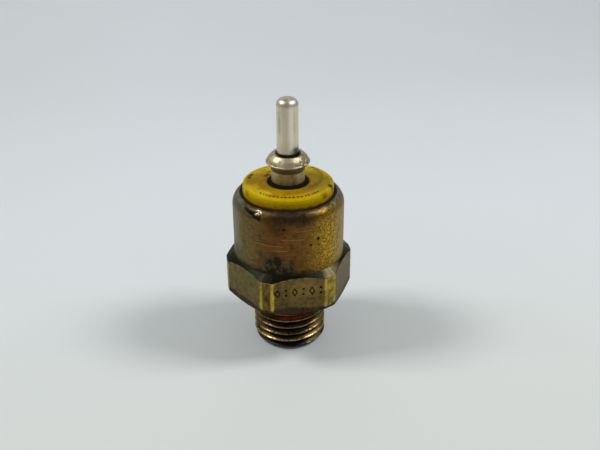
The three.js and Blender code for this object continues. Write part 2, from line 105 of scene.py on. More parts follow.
# Hexagon and cup
HEX_HALF = high("housing").y
HEX_CORNER_R = high("housing").x
HEX_TOP = 19.2
HEX_TOP_SLOPE = 0.66
HEX_BOTTOM_SLOPE = 0.37
BODY_R = HEX_HALF - 0.55
BORE_R = BODY_R - 2.05
RIM_BORE_R = BODY_R - 1.15
RIM_TOP = high("housing").z
RIM_UNDERSIDE = high("rim_gasket").z
RIM_BORE_Z = RIM_TOP - 4.3
RIM_ROLL_R = 1.75
RIM_ROLL_HEIGHT = 2.3
FLOOR_Z = low("diaphragm").z
RECESS_R = BORE_R - 3.0
RECESS_DEPTH = 0.7
GROOVE_OUTER = BORE_R - 0.8
GROOVE_INNER = BORE_R - 2.2
GROOVE_DEPTH = 0.9

# Insulator and terminal
DROP_R = high("diaphragm").x
SKIRT_INNER = DROP_R - 0.85
ROOF_Z = high("terminal_washer").z
FLANGE_R = high("rim_gasket").x
FLANGE_TOP = low("rim_gasket").z
FLANGE_BASE = FLANGE_TOP - 2.6
DISC_R = RIM_BORE_R - 0.82
DISC_TOP = high("insulator").z
DISC_ROUND = 0.65
COUNTERBORE_R = high("terminal_grommet").x
COUNTERBORE_Z = low("terminal_grommet").z
GROMMET_LIP = 0.37  # how far the grommet's bead stands out from the neck
NECK_R = 3.1
SHANK_R = 2.7
SCREW_BORE_R = 2.07
STEM_R = 1.6
PIN_R = high("terminal_pin").x
PIN_TOP = high("terminal_pin").z
PIN_ROUND = 1.25
COLLAR_R = high("terminal_collar").x
COLLAR_BASE = low("terminal_collar").z
COLLAR_TOP = high("terminal_collar").z
COLLAR_LAND_R = 2.87
COLLAR_SINK = 0.35

# Switch inside
TRAVEL = 0.8
BOSS_R = 1.6
PLATE_THICK = 0.6  # the contact plate and the spring cap's flange
SPIGOT_R = 0.95  # the plunger's foot, in the pressure plate
RIVET_R = 0.38
TIP_COUNT = 3
TIP_CIRCLE = (low("contact_tip_1").y + high("contact_tip_1").y) / 2
COIL_R = 2.45
WIRE_R = 0.3
SCREW_PITCH = 0.7

# Punched marks on the front flat, generic
MARK_COUNT = 6
MARK_PITCH = 1.62
MARK_Z = 15.9
MARK_DEPTH = 0.16

FINE = 160  # facets round a visible turned piece
INSIDE = 96  # facets round a hidden one
FILLET_STEPS = 3
TINY = 0.004  # a hair's gap
PRESSED = 0.02  # gap between pressed pieces
SHARP = math.radians(32)  # an edge sharper than this isn't shaded smooth


# ---- Mesh tools ----


def rounded(outline):
    """A closed outline with its corners filleted. Each point is (r, z) or (r, z, fillet radius)."""
    points = []
    count = len(outline)
    for i, corner in enumerate(outline):
        here = Vector(corner[:2])
        radius = corner[2] if len(corner) > 2 else 0
        before = Vector(outline[i - 1][:2]) - here
        after = Vector(outline[(i + 1) % count][:2]) - here
        turn = math.pi - before.angle(after)
        if not radius or turn < 0.05:
            points.append(here)
            continue
        reach = min(radius * math.tan(turn / 2), 0.45 * before.length, 0.45 * after.length)
        start = here + before.normalized() * reach
        end = here + after.normalized() * reach
        for k in range(FILLET_STEPS + 1):
            t = k / FILLET_STEPS
            points.append(start * (1 - t) ** 2 + here * 2 * t * (1 - t) + end * t * t)
    return points


def arc(centre_r, centre_z, radius_r, radius_z, start, end, steps):
    """Points of an elliptical arc in an outline, between two angles in degrees."""
    angles = [math.radians(start + (end - start) * k / steps) for k in range(steps + 1)]
    return [(centre_r + radius_r * math.cos(a), centre_z + radius_z * math.sin(a)) for a in angles]


def stretch_counts(points, longest):
    """How many parts each stretch of a closed outline needs, so that none is too long."""
    following = points[1:] + points[:1]
    return [max(1, math.ceil((b - a).length / longest)) for a, b in zip(points, following)]


def split_stretches(points, counts):
    """The same closed outline with each stretch divided, so that vertices can move there."""
    result = []
    for here, following, parts in zip(points, points[1:] + points[:1], counts):
        result += [here.lerp(following, k / parts) for k in range(parts)]
    return result


def in_scene(name, data):
    """An object in the scene for a mesh, a lamp or a camera."""
    made = bpy.data.objects.new(name, data)
    bpy.context.scene.collection.objects.link(made)
    return made


def new_object(name, bm):
    """An object in the scene from a mesh under construction, with its faces turned outwards."""
    bmesh.ops.recalc_face_normals(bm, faces=bm.faces)
    mesh = bpy.data.meshes.new(name)
    bm.to_mesh(mesh)
    bm.free()
    return in_scene(name, mesh)


def lofted(name, outline_at, angles):
    """A closed mesh through one closed outline at each angle about Z. A point on the axis is shared."""
    bm = bmesh.new()
    poles = {}
    columns = []
    for angle in angles:
        column = []
        for i, point in enumerate(outline_at(angle)):
            if point.x < TINY:
                if i not in poles:
                    poles[i] = bm.verts.new((0, 0, point.y * MM))
                column.append(poles[i])
                continue
            place = Vector((math.cos(angle) * point.x, math.sin(angle) * point.x, point.y))
            column.append(bm.verts.new(place * MM))
        columns.append(column)
    for k, column in enumerate(columns):
        other = columns[(k + 1) % len(columns)]
        for i in range(len(column)):
            j = (i + 1) % len(column)
            corners = [column[i], other[i], other[j], column[j]]
            corners = [v for n, v in enumerate(corners) if v not in corners[:n]]
            if len(corners) > 2:
                bm.faces.new(corners)
    return new_object(name, bm)


def turned(name, outline, facets, longest=0.0):
    """A lathe-turned piece from a closed outline. Stretches over the longest are divided."""
    points = rounded(outline)
    if longest:
        points = split_stretches(points, stretch_counts(points, longest))
    angles = [2 * math.pi * k / facets for k in range(facets)]
    return lofted(name, lambda angle: points, angles)


def coiled(name, section, radius, start_z, turns, rise, steps_per_turn):
    """A section of (out, up) points swept along a right-hand helix, closed at both ends."""
    bm = bmesh.new()
    steps = round(turns * steps_per_turn)
    rings = []
    for k in range(steps + 1):
        turn = turns * k / steps
        angle = 2 * math.pi * turn
        ring = []
        for out, up in section:
            r = radius + out
            place = Vector((r * math.cos(angle), r * math.sin(angle), start_z + rise(turn) + up))
            ring.append(bm.verts.new(place * MM))
        rings.append(ring)
    for ring, following in zip(rings, rings[1:]):
        for i in range(len(section)):
            j = (i + 1) % len(section)
            bm.faces.new([ring[i], following[i], following[j], ring[j]])
    bm.faces.new(rings[0])
    bm.faces.new(rings[-1])
    return new_object(name, bm)


def combine(target, others, operation):
    """Joins other solids to target, cuts them from it, or keeps what they share. The others go."""
    for other in others:
        modifier = target.modifiers.new("combine", "BOOLEAN")
        modifier.object = other
        modifier.operation = operation
        modifier.solver = "MANIFOLD"
        evaluated = target.evaluated_get(bpy.context.evaluated_depsgraph_get())
        mesh = bpy.data.meshes.new_from_object(evaluated)
        target.modifiers.remove(modifier)
        target.data = mesh
        bpy.data.objects.remove(other)
    return target


def placed(made, x, y, z, turn=None, scale=(1, 1, 1)):
    """Moves a mesh's own vertices: scaled, turned, then shifted, in millimetres."""
    matrix = Matrix.Translation(Vector((x, y, z)) * MM)
    if turn:
        matrix = matrix @ turn
    made.data.transform(matrix @ Matrix.Diagonal((*scale, 1)))
    return made


def part_point(azimuth, radius, height):
    """A place on the part, in millimetres, from its azimuth seen from the camera."""
    a = part_direction(azimuth)
    return Vector((radius * math.cos(a), radius * math.sin(a), height))


def pressed(made, dents):
    """Presses shallow dents into a piece. Each is (azimuth, radius, height, width, depth)."""
    normals = [vertex.normal.copy() for vertex in made.data.vertices]
    for azimuth, radius, height, width, depth in dents:
        centre = part_point(azimuth, radius, height)
        for vertex, normal in zip(made.data.vertices, normals):
            away = (vertex.co / MM - centre).length / width
            if away < 2.2:
                vertex.co -= normal * depth * math.exp(-away * away) * MM


def wavy(made, lowest, size, depth):
    """Wears a piece unevenly inwards, above a height."""
    normals = [vertex.normal.copy() for vertex in made.data.vertices]
    for vertex, normal in zip(made.data.vertices, normals):
        if vertex.co.z > lowest * MM:
            wear = 0.5 + 0.5 * noise.noise(vertex.co / (size * MM))
            vertex.co -= normal * wear * depth * MM


def part_direction(azimuth):
    """The direction on the part, in radians about Z, of an azimuth seen from the camera."""
    return math.radians(azimuth + CAMERA_AZIMUTH - 90)


def finish_piece(made, node, material, body="switch_body"):
    """Shades a piece smooth up to its sharp edges, gives it its material and body, and hides the CAD node
    it stands for.
    """
    made.data.name = made.name
    for polygon in made.data.polygons:
        polygon.use_smooth = True
    made.data.set_sharp_from_angle(angle=SHARP)
    made.data.materials.clear()
    made.data.materials.append(material)
    if body:
        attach(made, body)
    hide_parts(node)


def turned_piece(name, node, material, outline, body="switch_body"):
    """A piece that needs no more than turning and finishing."""
    finish_piece(turned(name, outline, INSIDE), node, material, body)


# ---- Materials ----

FACING = part_direction(0)


class Value:
    """A number or colour on its way through a material's nodes. Numbers add, subtract and multiply."""

    def __init__(self, paint, socket):
        self.paint = paint
        self.socket = socket

    def __add__(self, other):
        return self.paint.math("ADD", self, other)

    def __sub__(self, other):
        return self.paint.math("SUBTRACT", self, other)

    def __rsub__(self, other):
        return self.paint.math("SUBTRACT", other, self)

    def __mul__(self, other):
        return self.paint.math("MULTIPLY", self, other)

    def step(self, low, high):
        """0 where the number is at low, 1 where it is at high, and smooth between."""
        node, result = self.paint.node("MapRange")
        node.interpolation_type = "SMOOTHSTEP"
        self.paint.link(self, node.inputs["Value"])
        for name, bound in (("From Min", low), ("From Max", high)):
            node.inputs[name].default_value = bound
        return result

    def band(self, centre, half, soft):
        """1 within half of centre, fading to 0 over soft."""
        return self.paint.math("ABSOLUTE", self - centre).step(half + soft, half)

    def shifted(self, amount, by=None):
        """The number made uneven by up to half of amount each way."""
        by = by or self.paint.cloud
        return self + (by - 0.5) * amount

    def cover(self, mask, strength, tone, other=None):
        """The colour with a tone, or a mottle of two tones, laid over it where mask is 1."""
        if other is not None:
            tone = self.paint.mix(self.paint.mottle.step(0.3, 0.7), tone, other)
        return self.paint.mix(mask * strength, self, tone)


class Paint:
    """A procedural material, built call by call. Places are in millimetres on the part."""

    def __init__(self, name, seed):
        self.material = bpy.data.materials.new(name)
        self.material["slot"] = name
        self.material.use_nodes = True
        self.tree = self.material.node_tree
        self.shader = self.tree.nodes["Principled BSDF"]
        texture, _ = self.node("TexCoord")
        scaled, place = self.node("VectorMath")
        scaled.operation = "SCALE"
        scaled.inputs["Scale"].default_value = 1 / MM
        self.tree.links.new(texture.outputs["Object"], scaled.inputs[0])
        self.place = place
        split, _ = self.node("SeparateXYZ")
        self.link(place, split.inputs[0])
        self.x, self.y, self.z = (Value(self, socket) for socket in split.outputs)
        forward = self.x * math.cos(FACING) + self.y * math.sin(FACING)
        right = self.y * math.cos(FACING) - self.x * math.sin(FACING)
        self.azimuth = self.math("ARCTAN2", right, forward) * math.degrees(1)
        self.radius = self.math("SQRT", self.x * self.x + self.y * self.y)
        self.cloud = self.noise(3.2, 4.0, seed=seed)
        self.mottle = self.noise(0.9, 4.0, seed=seed + 5)
        self.grain = self.noise(0.28, 4.0, seed=seed + 9, roughness=0.7)

    def node(self, kind):
        """A new node and the value of its first output."""
        node = self.tree.nodes.new("ShaderNode" + kind)
        return node, Value(self, node.outputs[0])

    def link(self, source, socket):
        """Feeds a socket from a value, a plain number or a plain colour."""
        if isinstance(source, Value):
            self.tree.links.new(source.socket, socket)
        elif isinstance(source, tuple) and len(socket.default_value) == 4:
            socket.default_value = (*source, 1)
        else:
            socket.default_value = source

    def math(self, operation, *values):
        node, result = self.node("Math")
        node.operation = operation
        for socket, value in zip(node.inputs, values):
            self.link(value, socket)
        return result

    def scattered(self, kind, size, stretch, seed):
        """A texture node with features about as large as size, moved by its seed."""
        moved, place = self.node("VectorMath")
        moved.operation = "MULTIPLY_ADD"
        shift = (seed, seed * 0.7, seed * 1.3)
        for socket, value in zip(moved.inputs, (self.place, tuple(1 / v for v in stretch), shift)):
            self.link(value, socket)
        node, result = self.node(kind)
        self.link(place, node.inputs["Vector"])
        node.inputs["Scale"].default_value = 1 / size
        return node, result

    def noise(self, size, detail=3.0, stretch=(1, 1, 1), seed=0.0, roughness=0.55):
        """Cloudy noise from 0 to 1."""
        node, result = self.scattered("TexNoise", size, stretch, seed)
        node.inputs["Detail"].default_value = detail
        node.inputs["Roughness"].default_value = roughness
        return result

    def cells(self, size, seed):
        """Distance from the nearest of many scattered points, in cell sizes."""
        return self.scattered("TexVoronoi", size, (1, 1, 1), seed)[1]

    def mix(self, factor, a, b):
        """Colour a where factor is 0, b where it is 1."""
        return self.blend(factor, a, b, "RGBA")

    def blend(self, factor, a, b, data_type="FLOAT"):
        """Number a where factor is 0, b where it is 1."""
        node, _ = self.node("Mix")
        node.data_type = data_type
        for name, value in (("Factor", factor), ("A", a), ("B", b)):
            self.link(value, node.inputs[name])
        return Value(self, node.outputs["Result"])

    def either(self, a, b):
        """The larger of two masks."""
        return self.math("MAXIMUM", a, b)

    def around(self, azimuth, half, soft, uneven=0):
        """1 within half of an azimuth, fading to 0 over soft, with its edges made uneven."""
        place = self.azimuth.shifted(uneven) if uneven else self.azimuth
        return place.band(azimuth, half, soft)

    def patch(self, azimuth, height, half_azimuth, half_height, rim, ragged=None):
        """A ragged blotch on the outside: 1 inside, 0 outside."""
        ragged = ragged or self.cloud
        across = (self.azimuth - azimuth) * (1 / half_azimuth)
        up = (self.z - height) * (1 / half_height)
        far = self.math("SQRT", across * across + up * up)
        uneven = far + (ragged - 0.5) * 1.6
        return uneven.step(1 + rim / 2, 1 - rim / 2)

    def finish(self, color, roughness, metallic=0.0, height=None, depth=0.02):
        """Sets the shader. height is a bump from 0 to 1, and depth its size in millimetres."""
        for name, value in (("Base Color", color), ("Roughness", roughness), ("Metallic", metallic)):
            self.link(value, self.shader.inputs[name])
        if height is not None:
            bump, normal = self.node("Bump")
            bump.inputs["Strength"].default_value = 1.0
            bump.inputs["Distance"].default_value = depth * MM
            self.link(height, bump.inputs["Height"])
            self.link(normal, self.shader.inputs["Normal"])
        return self.material


def cup_color(p):
    """Brown and copper with turning streaks, painted grey-green reflection at the left edge and painted
    light at the right edge, gold to the right, sooty foot.
    """
    color = p.mix(p.cloud.step(0.35, 0.65), (0.105, 0.046, 0.013), (0.165, 0.078, 0.02))
    color = color.cover(p.patch(-3, 26.4, 24, 4.4, 0.9), 0.75, (0.125, 0.046, 0.014), (0.19, 0.072, 0.019))
    # painted reflection: a grey-green tone on the cup's left side, where the pale backdrop is seen at a
    # grazing angle
    painted_left_reflection = p.around(-82, 40, 30, 26)
    color = color.cover(painted_left_reflection, 0.85, (0.12, 0.084, 0.028), (0.185, 0.138, 0.054))
    streaks = p.noise(0.30, 4.0, stretch=(9, 9, 1), seed=6, roughness=0.65)
    color = color.cover(streaks.step(0.54, 0.68), 0.5, (0.225, 0.125, 0.042))
    color = color.cover(streaks.step(0.46, 0.34), 0.6, (0.048, 0.024, 0.009))
    smoky = p.noise(2.2, 3.0, stretch=(1, 1, 1.6), seed=37, roughness=0.6).step(0.52, 0.66)
    smoky = smoky * p.around(-2, 22, 14)
    color = color.cover(smoky, 0.55, (0.06, 0.026, 0.012), (0.095, 0.04, 0.016))

    stipple = p.blend(0.6, p.cloud, p.noise(0.4, 4.0, seed=19, roughness=0.75))
    gold = p.mix(p.mottle.step(0.35, 0.65), (0.47, 0.29, 0.024), (0.31, 0.18, 0.018))
    speck = p.noise(0.34, 3.0, seed=17, roughness=0.6)
    gold = p.mix(speck.step(0.46, 0.38), gold, (0.085, 0.042, 0.01))
    gold = p.mix(speck.step(0.56, 0.66), gold, (0.76, 0.51, 0.045))
    warm = p.patch(44, 25.0, 34, 9.0, 1.6, stipple)
    color = color.cover(warm, 0.55, (0.1, 0.046, 0.012), (0.24, 0.13, 0.024))
    rubbed = p.patch(53, 23.8, 25, 8.0, 1.3, stipple)
    color = color.cover(rubbed, 0.92, gold)
    worn_gold = rubbed * p.noise(1.7, 3.0, seed=35).step(0.5, 0.64)
    color = color.cover(worn_gold, 0.45, (0.17, 0.09, 0.016), (0.24, 0.135, 0.02))
    color = color.cover(p.patch(128, 25.5, 21, 4.5, 1.5, stipple), 0.5, gold)
    # painted reflection: a grey band at the cup's left edge
    painted_edge_reflection = p.around(-78, 12, 16, 20)
    color = color.cover(painted_edge_reflection, 0.65, (0.16, 0.155, 0.11), (0.25, 0.24, 0.175))
    # painted reflection: a lighter band at the cup's right edge
    painted_right_reflection = p.around(88, 8, 34, 30)
    color = color.cover(painted_right_reflection, 0.55, (0.25, 0.205, 0.105), (0.4, 0.33, 0.17))
    dims = ((-9, 28.7, 10, 1.4), (-72, 21.3, 16, 1.4), (-138, 24.5, 18, 3.0), (110, 21.5, 22, 2.0))
    for azimuth, height, wide, tall in dims:
        dim = p.patch(azimuth, height, wide, tall, 1.2)
        color = color.cover(dim, 0.75, (0.04, 0.019, 0.007), (0.08, 0.04, 0.015))

    color = color.cover(p.patch(8, 30.5, 20, 1.25, 0.8), 0.88, (0.05, 0.027, 0.016), (0.085, 0.05, 0.03))
    slanted = p.z + p.azimuth * 0.055
    streak = slanted.band(28.45, 0.3, 0.35) * p.around(-41, 11, 5)
    color = color.cover(streak, 0.95, (0.013, 0.007, 0.004))
    foot = p.z.shifted(4.0).step(24.0, 21.4) * p.around(-12, 13, 9)
    color = color.cover(foot, 0.7, (0.052, 0.044, 0.028), (0.115, 0.09, 0.05))
    soot = p.blend(0.35, p.noise(1.7, 2.0, seed=27), p.noise(0.35, 3.0, seed=29))
    blots = foot * soot.step(0.44, 0.58)
    color = color.cover(blots, 0.85, (0.012, 0.011, 0.008))
    root = p.z.shifted(0.8, p.mottle).step(20.2, 19.3)
    root_depth = p.blend(p.around(48, 18, 14), 0.8, 0.15)
    color = color.cover(root * root_depth, 1.0, (0.022, 0.02, 0.013))
    for azimuth, height, size in ((-4, 28.5, 1.5), (-3, 27.1, 1.2), (23, 25.0, 1.6), (31, 26, 2.2)):
        spot = p.patch(azimuth, height, size, size * 0.17, 0.5, p.mottle)
        color = color.cover(spot, 0.9, (0.016, 0.01, 0.006))
    for azimuth, height, half in ((-20, 25.1, 13), (17, 28.0, 6), (5, 26.4, 10), (-8, 24.2, 6)):
        line = p.z.shifted(0.25).band(height, 0.03, 0.07) * p.around(azimuth, half, 4)
        color = color.cover(line, 0.55, (0.34, 0.22, 0.11))
    return color, rubbed, p.either(blots * 0.7, root * root_depth)


def rim_color(p, color):
    """The rolled lip: painted shade in front, a painted shadow against the disc, painted grey reflection at
    both sides, bare in specks, and a painted sparkle of highlight.
    """
    lip = p.z.shifted(0.4, p.mottle).step(RIM_TOP - 0.75, RIM_TOP - 0.3)
    color = color.cover(lip, 0.75, (0.052, 0.036, 0.02), (0.125, 0.09, 0.048))
    bare = lip * p.grain.step(0.56, 0.66)
    color = color.cover(bare * p.around(45, 30, 12), 0.8, (0.42, 0.3, 0.1))
    # painted reflection: grey on the lip at both sides
    for azimuth in (-82, 82):
        side = lip * p.around(azimuth, 16, 14, 12)
        color = color.cover(side, 0.6, (0.185, 0.18, 0.135), (0.31, 0.3, 0.235))
    # painted shade: the lip's front darkened where the disc shades it
    front = lip * p.around(0, 38, 20)
    color = color.cover(front, 0.6, (0.03, 0.018, 0.01), (0.06, 0.038, 0.02))
    shadow = p.radius.step(DISC_R + 0.75, DISC_R + 0.45) * p.z.step(RIM_TOP - 1.5, RIM_TOP - 1.0)
    color = color.cover(shadow, 0.95, (0.01, 0.008, 0.006))
    sparkle = p.patch(-32, 30.75, 4.2, 0.45, 0.6, p.mottle) * p.grain.step(0.52, 0.6)
    return color.cover(sparkle, 0.85, (0.6, 0.52, 0.38)), sparkle, shadow


def hexagon_color(p):
    """Olive-brown flats, the left and right ones with painted light, near-black cone above, plum edge
    below, worn gold corner strips.
    """
    flats = p.mix(p.mottle.shifted(0.5).step(0.3, 0.7), (0.086, 0.054, 0.018), (0.175, 0.117, 0.04))
    # painted light: the left and right flats each get their own tone for the light they catch
    left = p.around(-60 - CAMERA_AZIMUTH, 29, 1)
    flats = flats.cover(left, 0.9, (0.122, 0.092, 0.03), (0.2, 0.158, 0.058))
    right = p.around(60 - CAMERA_AZIMUTH, 29, 1)
    flats = flats.cover(right, 0.85, (0.098, 0.074, 0.036), (0.165, 0.128, 0.064))
    smear = p.patch(16, 16.6, 15, 1.9, 1.0)
    flats = flats.cover(smear, 0.6, (0.2, 0.135, 0.04), (0.275, 0.195, 0.06))
    under = p.z.shifted(1.6).step(12.9, 12.1)
    flats = flats.cover(under, 0.88, (0.02, 0.012, 0.012), (0.05, 0.03, 0.024))

    wall = p.radius - BODY_R
    below_cone = HEX_TOP - wall * HEX_TOP_SLOPE - p.z
    on_cone = below_cone.step(0.06, 0.0)
    cone = p.mix(p.mottle, (0.005, 0.006, 0.003), (0.016, 0.016, 0.010))
    cone = cone.cover(p.patch(48, 18.6, 12, 3, 0.8), 0.75, (0.075, 0.062, 0.032), (0.15, 0.12, 0.06))

    # Corner strips, every 60 degrees, with a bright line on both edges
    from_flat = p.math("PINGPONG", p.azimuth + (360 + CAMERA_AZIMUTH), 30)
    edge = math.degrees(math.acos(HEX_HALF / HEX_CORNER_R))
    upright = p.z.step(11.9, 12.5)
    strip = from_flat.step(edge - 0.2, edge + 0.2) * upright
    flats = flats.cover(strip, 0.9, (0.062, 0.038, 0.012), (0.12, 0.076, 0.02))
    bright = p.around(40, 12, 4)
    flats = flats.cover(strip * bright, 0.8, (0.21, 0.135, 0.03), (0.33, 0.225, 0.042))
    gold = strip * p.blend(0.5, p.grain, p.mottle).step(0.42, 0.64) * p.blend(bright, 0.2, 0.9)
    flats = flats.cover(gold, 0.95, (0.4, 0.285, 0.05), (0.6, 0.45, 0.085))
    worn_edge = from_flat.shifted(4.2, p.mottle).shifted(2.0, p.grain)
    rub = worn_edge.band(edge + 0.6, 0.6, 1.5) * upright * p.blend(bright, 0.95, 0.6)
    rub = rub * p.noise(1.4, 3.0, stretch=(1, 1, 2), seed=15).step(0.28, 0.5)
    flats = flats.cover(rub, 0.9, (0.4, 0.28, 0.035), (0.56, 0.42, 0.07))
    arris = below_cone.band(0.1, 0.05, 0.06) * p.mottle.step(0.42, 0.58)
    flats = flats.cover(arris, 0.7, (0.3, 0.24, 0.12))
    punched = p.y.step(0.015 - HEX_HALF, 0.05 - HEX_HALF) * p.x.band(0, MARK_COUNT * MARK_PITCH / 2, 0.05)
    punched = punched * p.z.band(MARK_Z, 1.1, 0.05) * p.y.step(0, -1)
    flats = flats.cover(punched, 0.9, (0.012, 0.009, 0.006))
    return p.mix(on_cone, flats, cone), rub


def stud_color(p):
    """Thread: near black in the roots and at the end, copper under the hexagon, crests lighter as bare
    metal with a painted highlight, painted light on the sides, and painted glints.
    """
    cloud = p.noise(1.6, 3.0, stretch=(2, 2, 0.6), seed=11)
    flank = p.mix(cloud.step(0.35, 0.65), (0.032, 0.018, 0.007), (0.125, 0.072, 0.027))
    red = p.z.shifted(2.0).step(6.6, 7.8)
    flank = flank.cover(red, 0.92, (0.42, 0.13, 0.034), (0.68, 0.25, 0.066))
    deep = p.radius.step(THREAD_R - 0.45, THREAD_R - 0.85)
    flank = flank.cover(deep * p.z.step(8.0, 7.4), 0.75, (0.014, 0.009, 0.004))
    # crests: bare metal, partly a painted highlight
    crest = p.radius.shifted(0.12, p.grain).step(THREAD_R - 0.3, THREAD_R - 0.12) * p.mottle.step(0.3, 0.52)
    flank = flank.cover(crest, 0.8, (0.22, 0.145, 0.055), (0.4, 0.3, 0.14))
    # painted light: the stud lighter on both sides
    side = p.math("ABSOLUTE", p.azimuth.shifted(30)).step(35, 65) * p.z.shifted(2.0).step(3.2, 4.6)
    flank = flank.cover(side, 0.45, (0.18, 0.12, 0.042), (0.27, 0.19, 0.075))
    glint = p.z.band(2.5, 0.5, 0.4) * p.grain.step(0.45, 0.6)
    flank = flank.cover(glint * crest, 0.8, (0.75, 0.55, 0.18))
    end = p.z.shifted(0.5, p.mottle).step(1.6, 0.95)
    return flank.cover(end, 0.93, (0.016, 0.018, 0.017), (0.038, 0.041, 0.038)), crest


def make_aged_brass():
    """The housing's brass: cup, rim, hexagon and stud, each with its own tarnish."""
    p = Paint("aged_brass", 3)
    color, rubbed, soot = cup_color(p)
    color, sparkle, shadow = rim_color(p, color)
    hexagon, rub = hexagon_color(p)
    stud, crest = stud_color(p)
    on_hexagon = p.z.step(HEX_TOP + 0.03, HEX_TOP - 0.03)
    on_stud = p.z.step(STUD_LENGTH + 0.1, STUD_LENGTH - 0.1) * p.radius.step(THREAD_R + 0.2, THREAD_R + 0.1)
    color = p.mix(on_hexagon, color, hexagon)
    color = p.mix(on_stud, color, stud)
    inside = p.radius.step(BORE_R + 0.3, BORE_R + 0.1) * p.z.step(12.0, 12.2)
    color = color.cover(inside, 0.9, (0.42, 0.29, 0.1), (0.55, 0.4, 0.16))
    pit = p.cells(2.3, seed=4).step(0.07, 0.045)
    color = color.cover(pit, 0.85, (0.014, 0.01, 0.008))

    bare = p.either(rub * on_hexagon, p.either(sparkle, crest * on_stud))
    rough = p.blend(p.mottle, 0.34, 0.52)
    rough = p.blend(rubbed * 0.6, rough, 0.36)
    rough = p.blend(bare * 0.8, rough, 0.24)
    dull = p.either(shadow, soot * (1.0 - on_hexagon))
    rough = p.blend(dull, rough, 0.85)
    lines = p.noise(0.14, 2.0, stretch=(14, 14, 1), seed=2)
    height = lines * 0.55 + p.grain * 0.8 + p.mottle * 0.8 - pit * 1.5
    p.shader.inputs["Specular Tint"].default_value = (0.92, 0.87, 0.78, 1)
    p.shader.inputs["Specular IOR Level"].default_value = 0.06
    return p.finish(color, rough, p.blend(dull, 1.0, 0.15), height, 0.03)


def make_yellow_plastic():
    """Moulded yellow, brighter on its rounded rim with a painted highlight, grubby, with a painted
    highlight on its top at the left, and the remains of a dashed arc.
    """
    p = Paint("yellow_plastic", 21)
    color = p.mix(p.cloud.step(0.35, 0.65), (0.36, 0.205, 0.002), (0.44, 0.268, 0.002))
    # painted highlight: the rounded top edge brighter
    rim = p.radius.step(DISC_R - 1.1, DISC_R - 0.35) * p.z.step(DISC_TOP - 1.2, DISC_TOP - 0.5)
    color = color.cover(rim, 0.7, (0.52, 0.36, 0.003), (0.62, 0.46, 0.006))
    dirt = (p.mottle * 0.6 + p.cloud * 0.5).step(0.57, 0.7)
    color = color.cover(dirt, 0.5, (0.2, 0.105, 0.003), (0.15, 0.07, 0.003))
    foot = p.z.shifted(1.1, p.mottle).step(RIM_TOP + 0.3, RIM_TOP - 0.05)
    color = color.cover(foot, 0.85, (0.1, 0.05, 0.003), (0.03, 0.016, 0.003))
    hole = p.radius.shifted(0.7, p.mottle).step(4.35, 3.95)
    color = color.cover(hole, 0.8, (0.1, 0.055, 0.003), (0.03, 0.018, 0.003))
    for azimuth, spread in ((-61, 4), (52, 5), (74, 5), (118, 5), (-112, 4)):
        stain = p.patch(azimuth, DISC_TOP - 0.7, spread, 0.55, 1.0, p.mottle)
        stain = stain * p.radius.step(DISC_R - 0.8, DISC_R - 0.4)
        color = color.cover(stain, 0.65, (0.2, 0.075, 0.003), (0.075, 0.034, 0.003))
    for azimuth, radius, wide in ((-107, 7.5, 7), (74, 8.0, 3), (-140, 5.6, 7), (-122, 4.7, 10)):
        notch = p.around(azimuth, wide, 3) * p.radius.band(radius, 0.2, 0.3)
        color = color.cover(notch, 0.88, (0.04, 0.02, 0.003))
    green = p.around(100, 45, 20, 60) * p.radius.band(5.9, 0.8, 0.7)
    color = color.cover(green, 0.55, (0.24, 0.2, 0.012), (0.33, 0.28, 0.02))
    smear = p.around(22, 26, 16, 30) * p.radius.band(5.3, 0.5, 0.8)
    color = color.cover(smear, 0.45, (0.21, 0.11, 0.006))
    # painted highlight: a bright patch on the top face at the left
    painted_top_highlight = p.around(-48, 24, 18, 30) * p.radius.band(7.0, 0.9, 0.8)
    color = color.cover(painted_top_highlight * p.cloud.step(0.38, 0.55), 0.6, (0.62, 0.44, 0.006))
    specked = p.around(66, 22, 12) * p.radius.step(DISC_R - 1.6, DISC_R - 0.9) * p.grain.step(0.57, 0.64)
    color = color.cover(specked, 0.75, (0.11, 0.05, 0.003))
    orange = p.patch(-38, RIM_TOP + 0.5, 12, 0.5, 1.0, p.mottle) * p.radius.step(DISC_R - 0.4, DISC_R - 0.2)
    color = color.cover(orange, 0.6, (0.42, 0.19, 0.004))
    around_hole = p.radius.band(4.9, 0.7, 0.6) * p.cloud.step(0.45, 0.62)
    color = color.cover(around_hole, 0.45, (0.28, 0.115, 0.003))
    scuff = (p.radius - p.azimuth * 0.032).band(3.1, 0.25, 0.3) * p.around(100, 40, 10)
    color = color.cover(scuff, 0.45, (0.16, 0.085, 0.004))

    on_top = p.z.step(DISC_TOP - 0.1, DISC_TOP - 0.05)
    dash = p.math("PINGPONG", p.azimuth.shifted(5.0, p.mottle), 2.9).step(1.1, 1.4)
    ink = p.radius.band(7.12, 0.19, 0.08) * p.around(4.5, 48.0, 3.0) * on_top * dash
    ink = ink * p.noise(0.4, 3.0, seed=31).step(0.36, 0.46)
    color = color.cover(ink, 0.92, (0.012, 0.01, 0.002))
    clean = p.y.step(1.5, 5.5) * p.mottle.step(0.62, 0.4)
    color = color.cover(clean, 0.6, (0.5, 0.4, 0.02), (0.6, 0.5, 0.05))
    fleck = p.cells(1.7, seed=9).step(0.08, 0.05)
    color = color.cover(fleck, 0.8, (0.03, 0.018, 0.002))

    p.shader.inputs["Specular IOR Level"].default_value = 0.03
    p.shader.inputs["Specular Tint"].default_value = (1.0, 0.80, 0.15, 1)
    rough = p.blend(p.mottle, 0.30, 0.50)
    height = p.grain * 0.35 + p.mottle * 0.9 - fleck * 0.7
    return p.finish(color, rough, 0.0, height, 0.05)


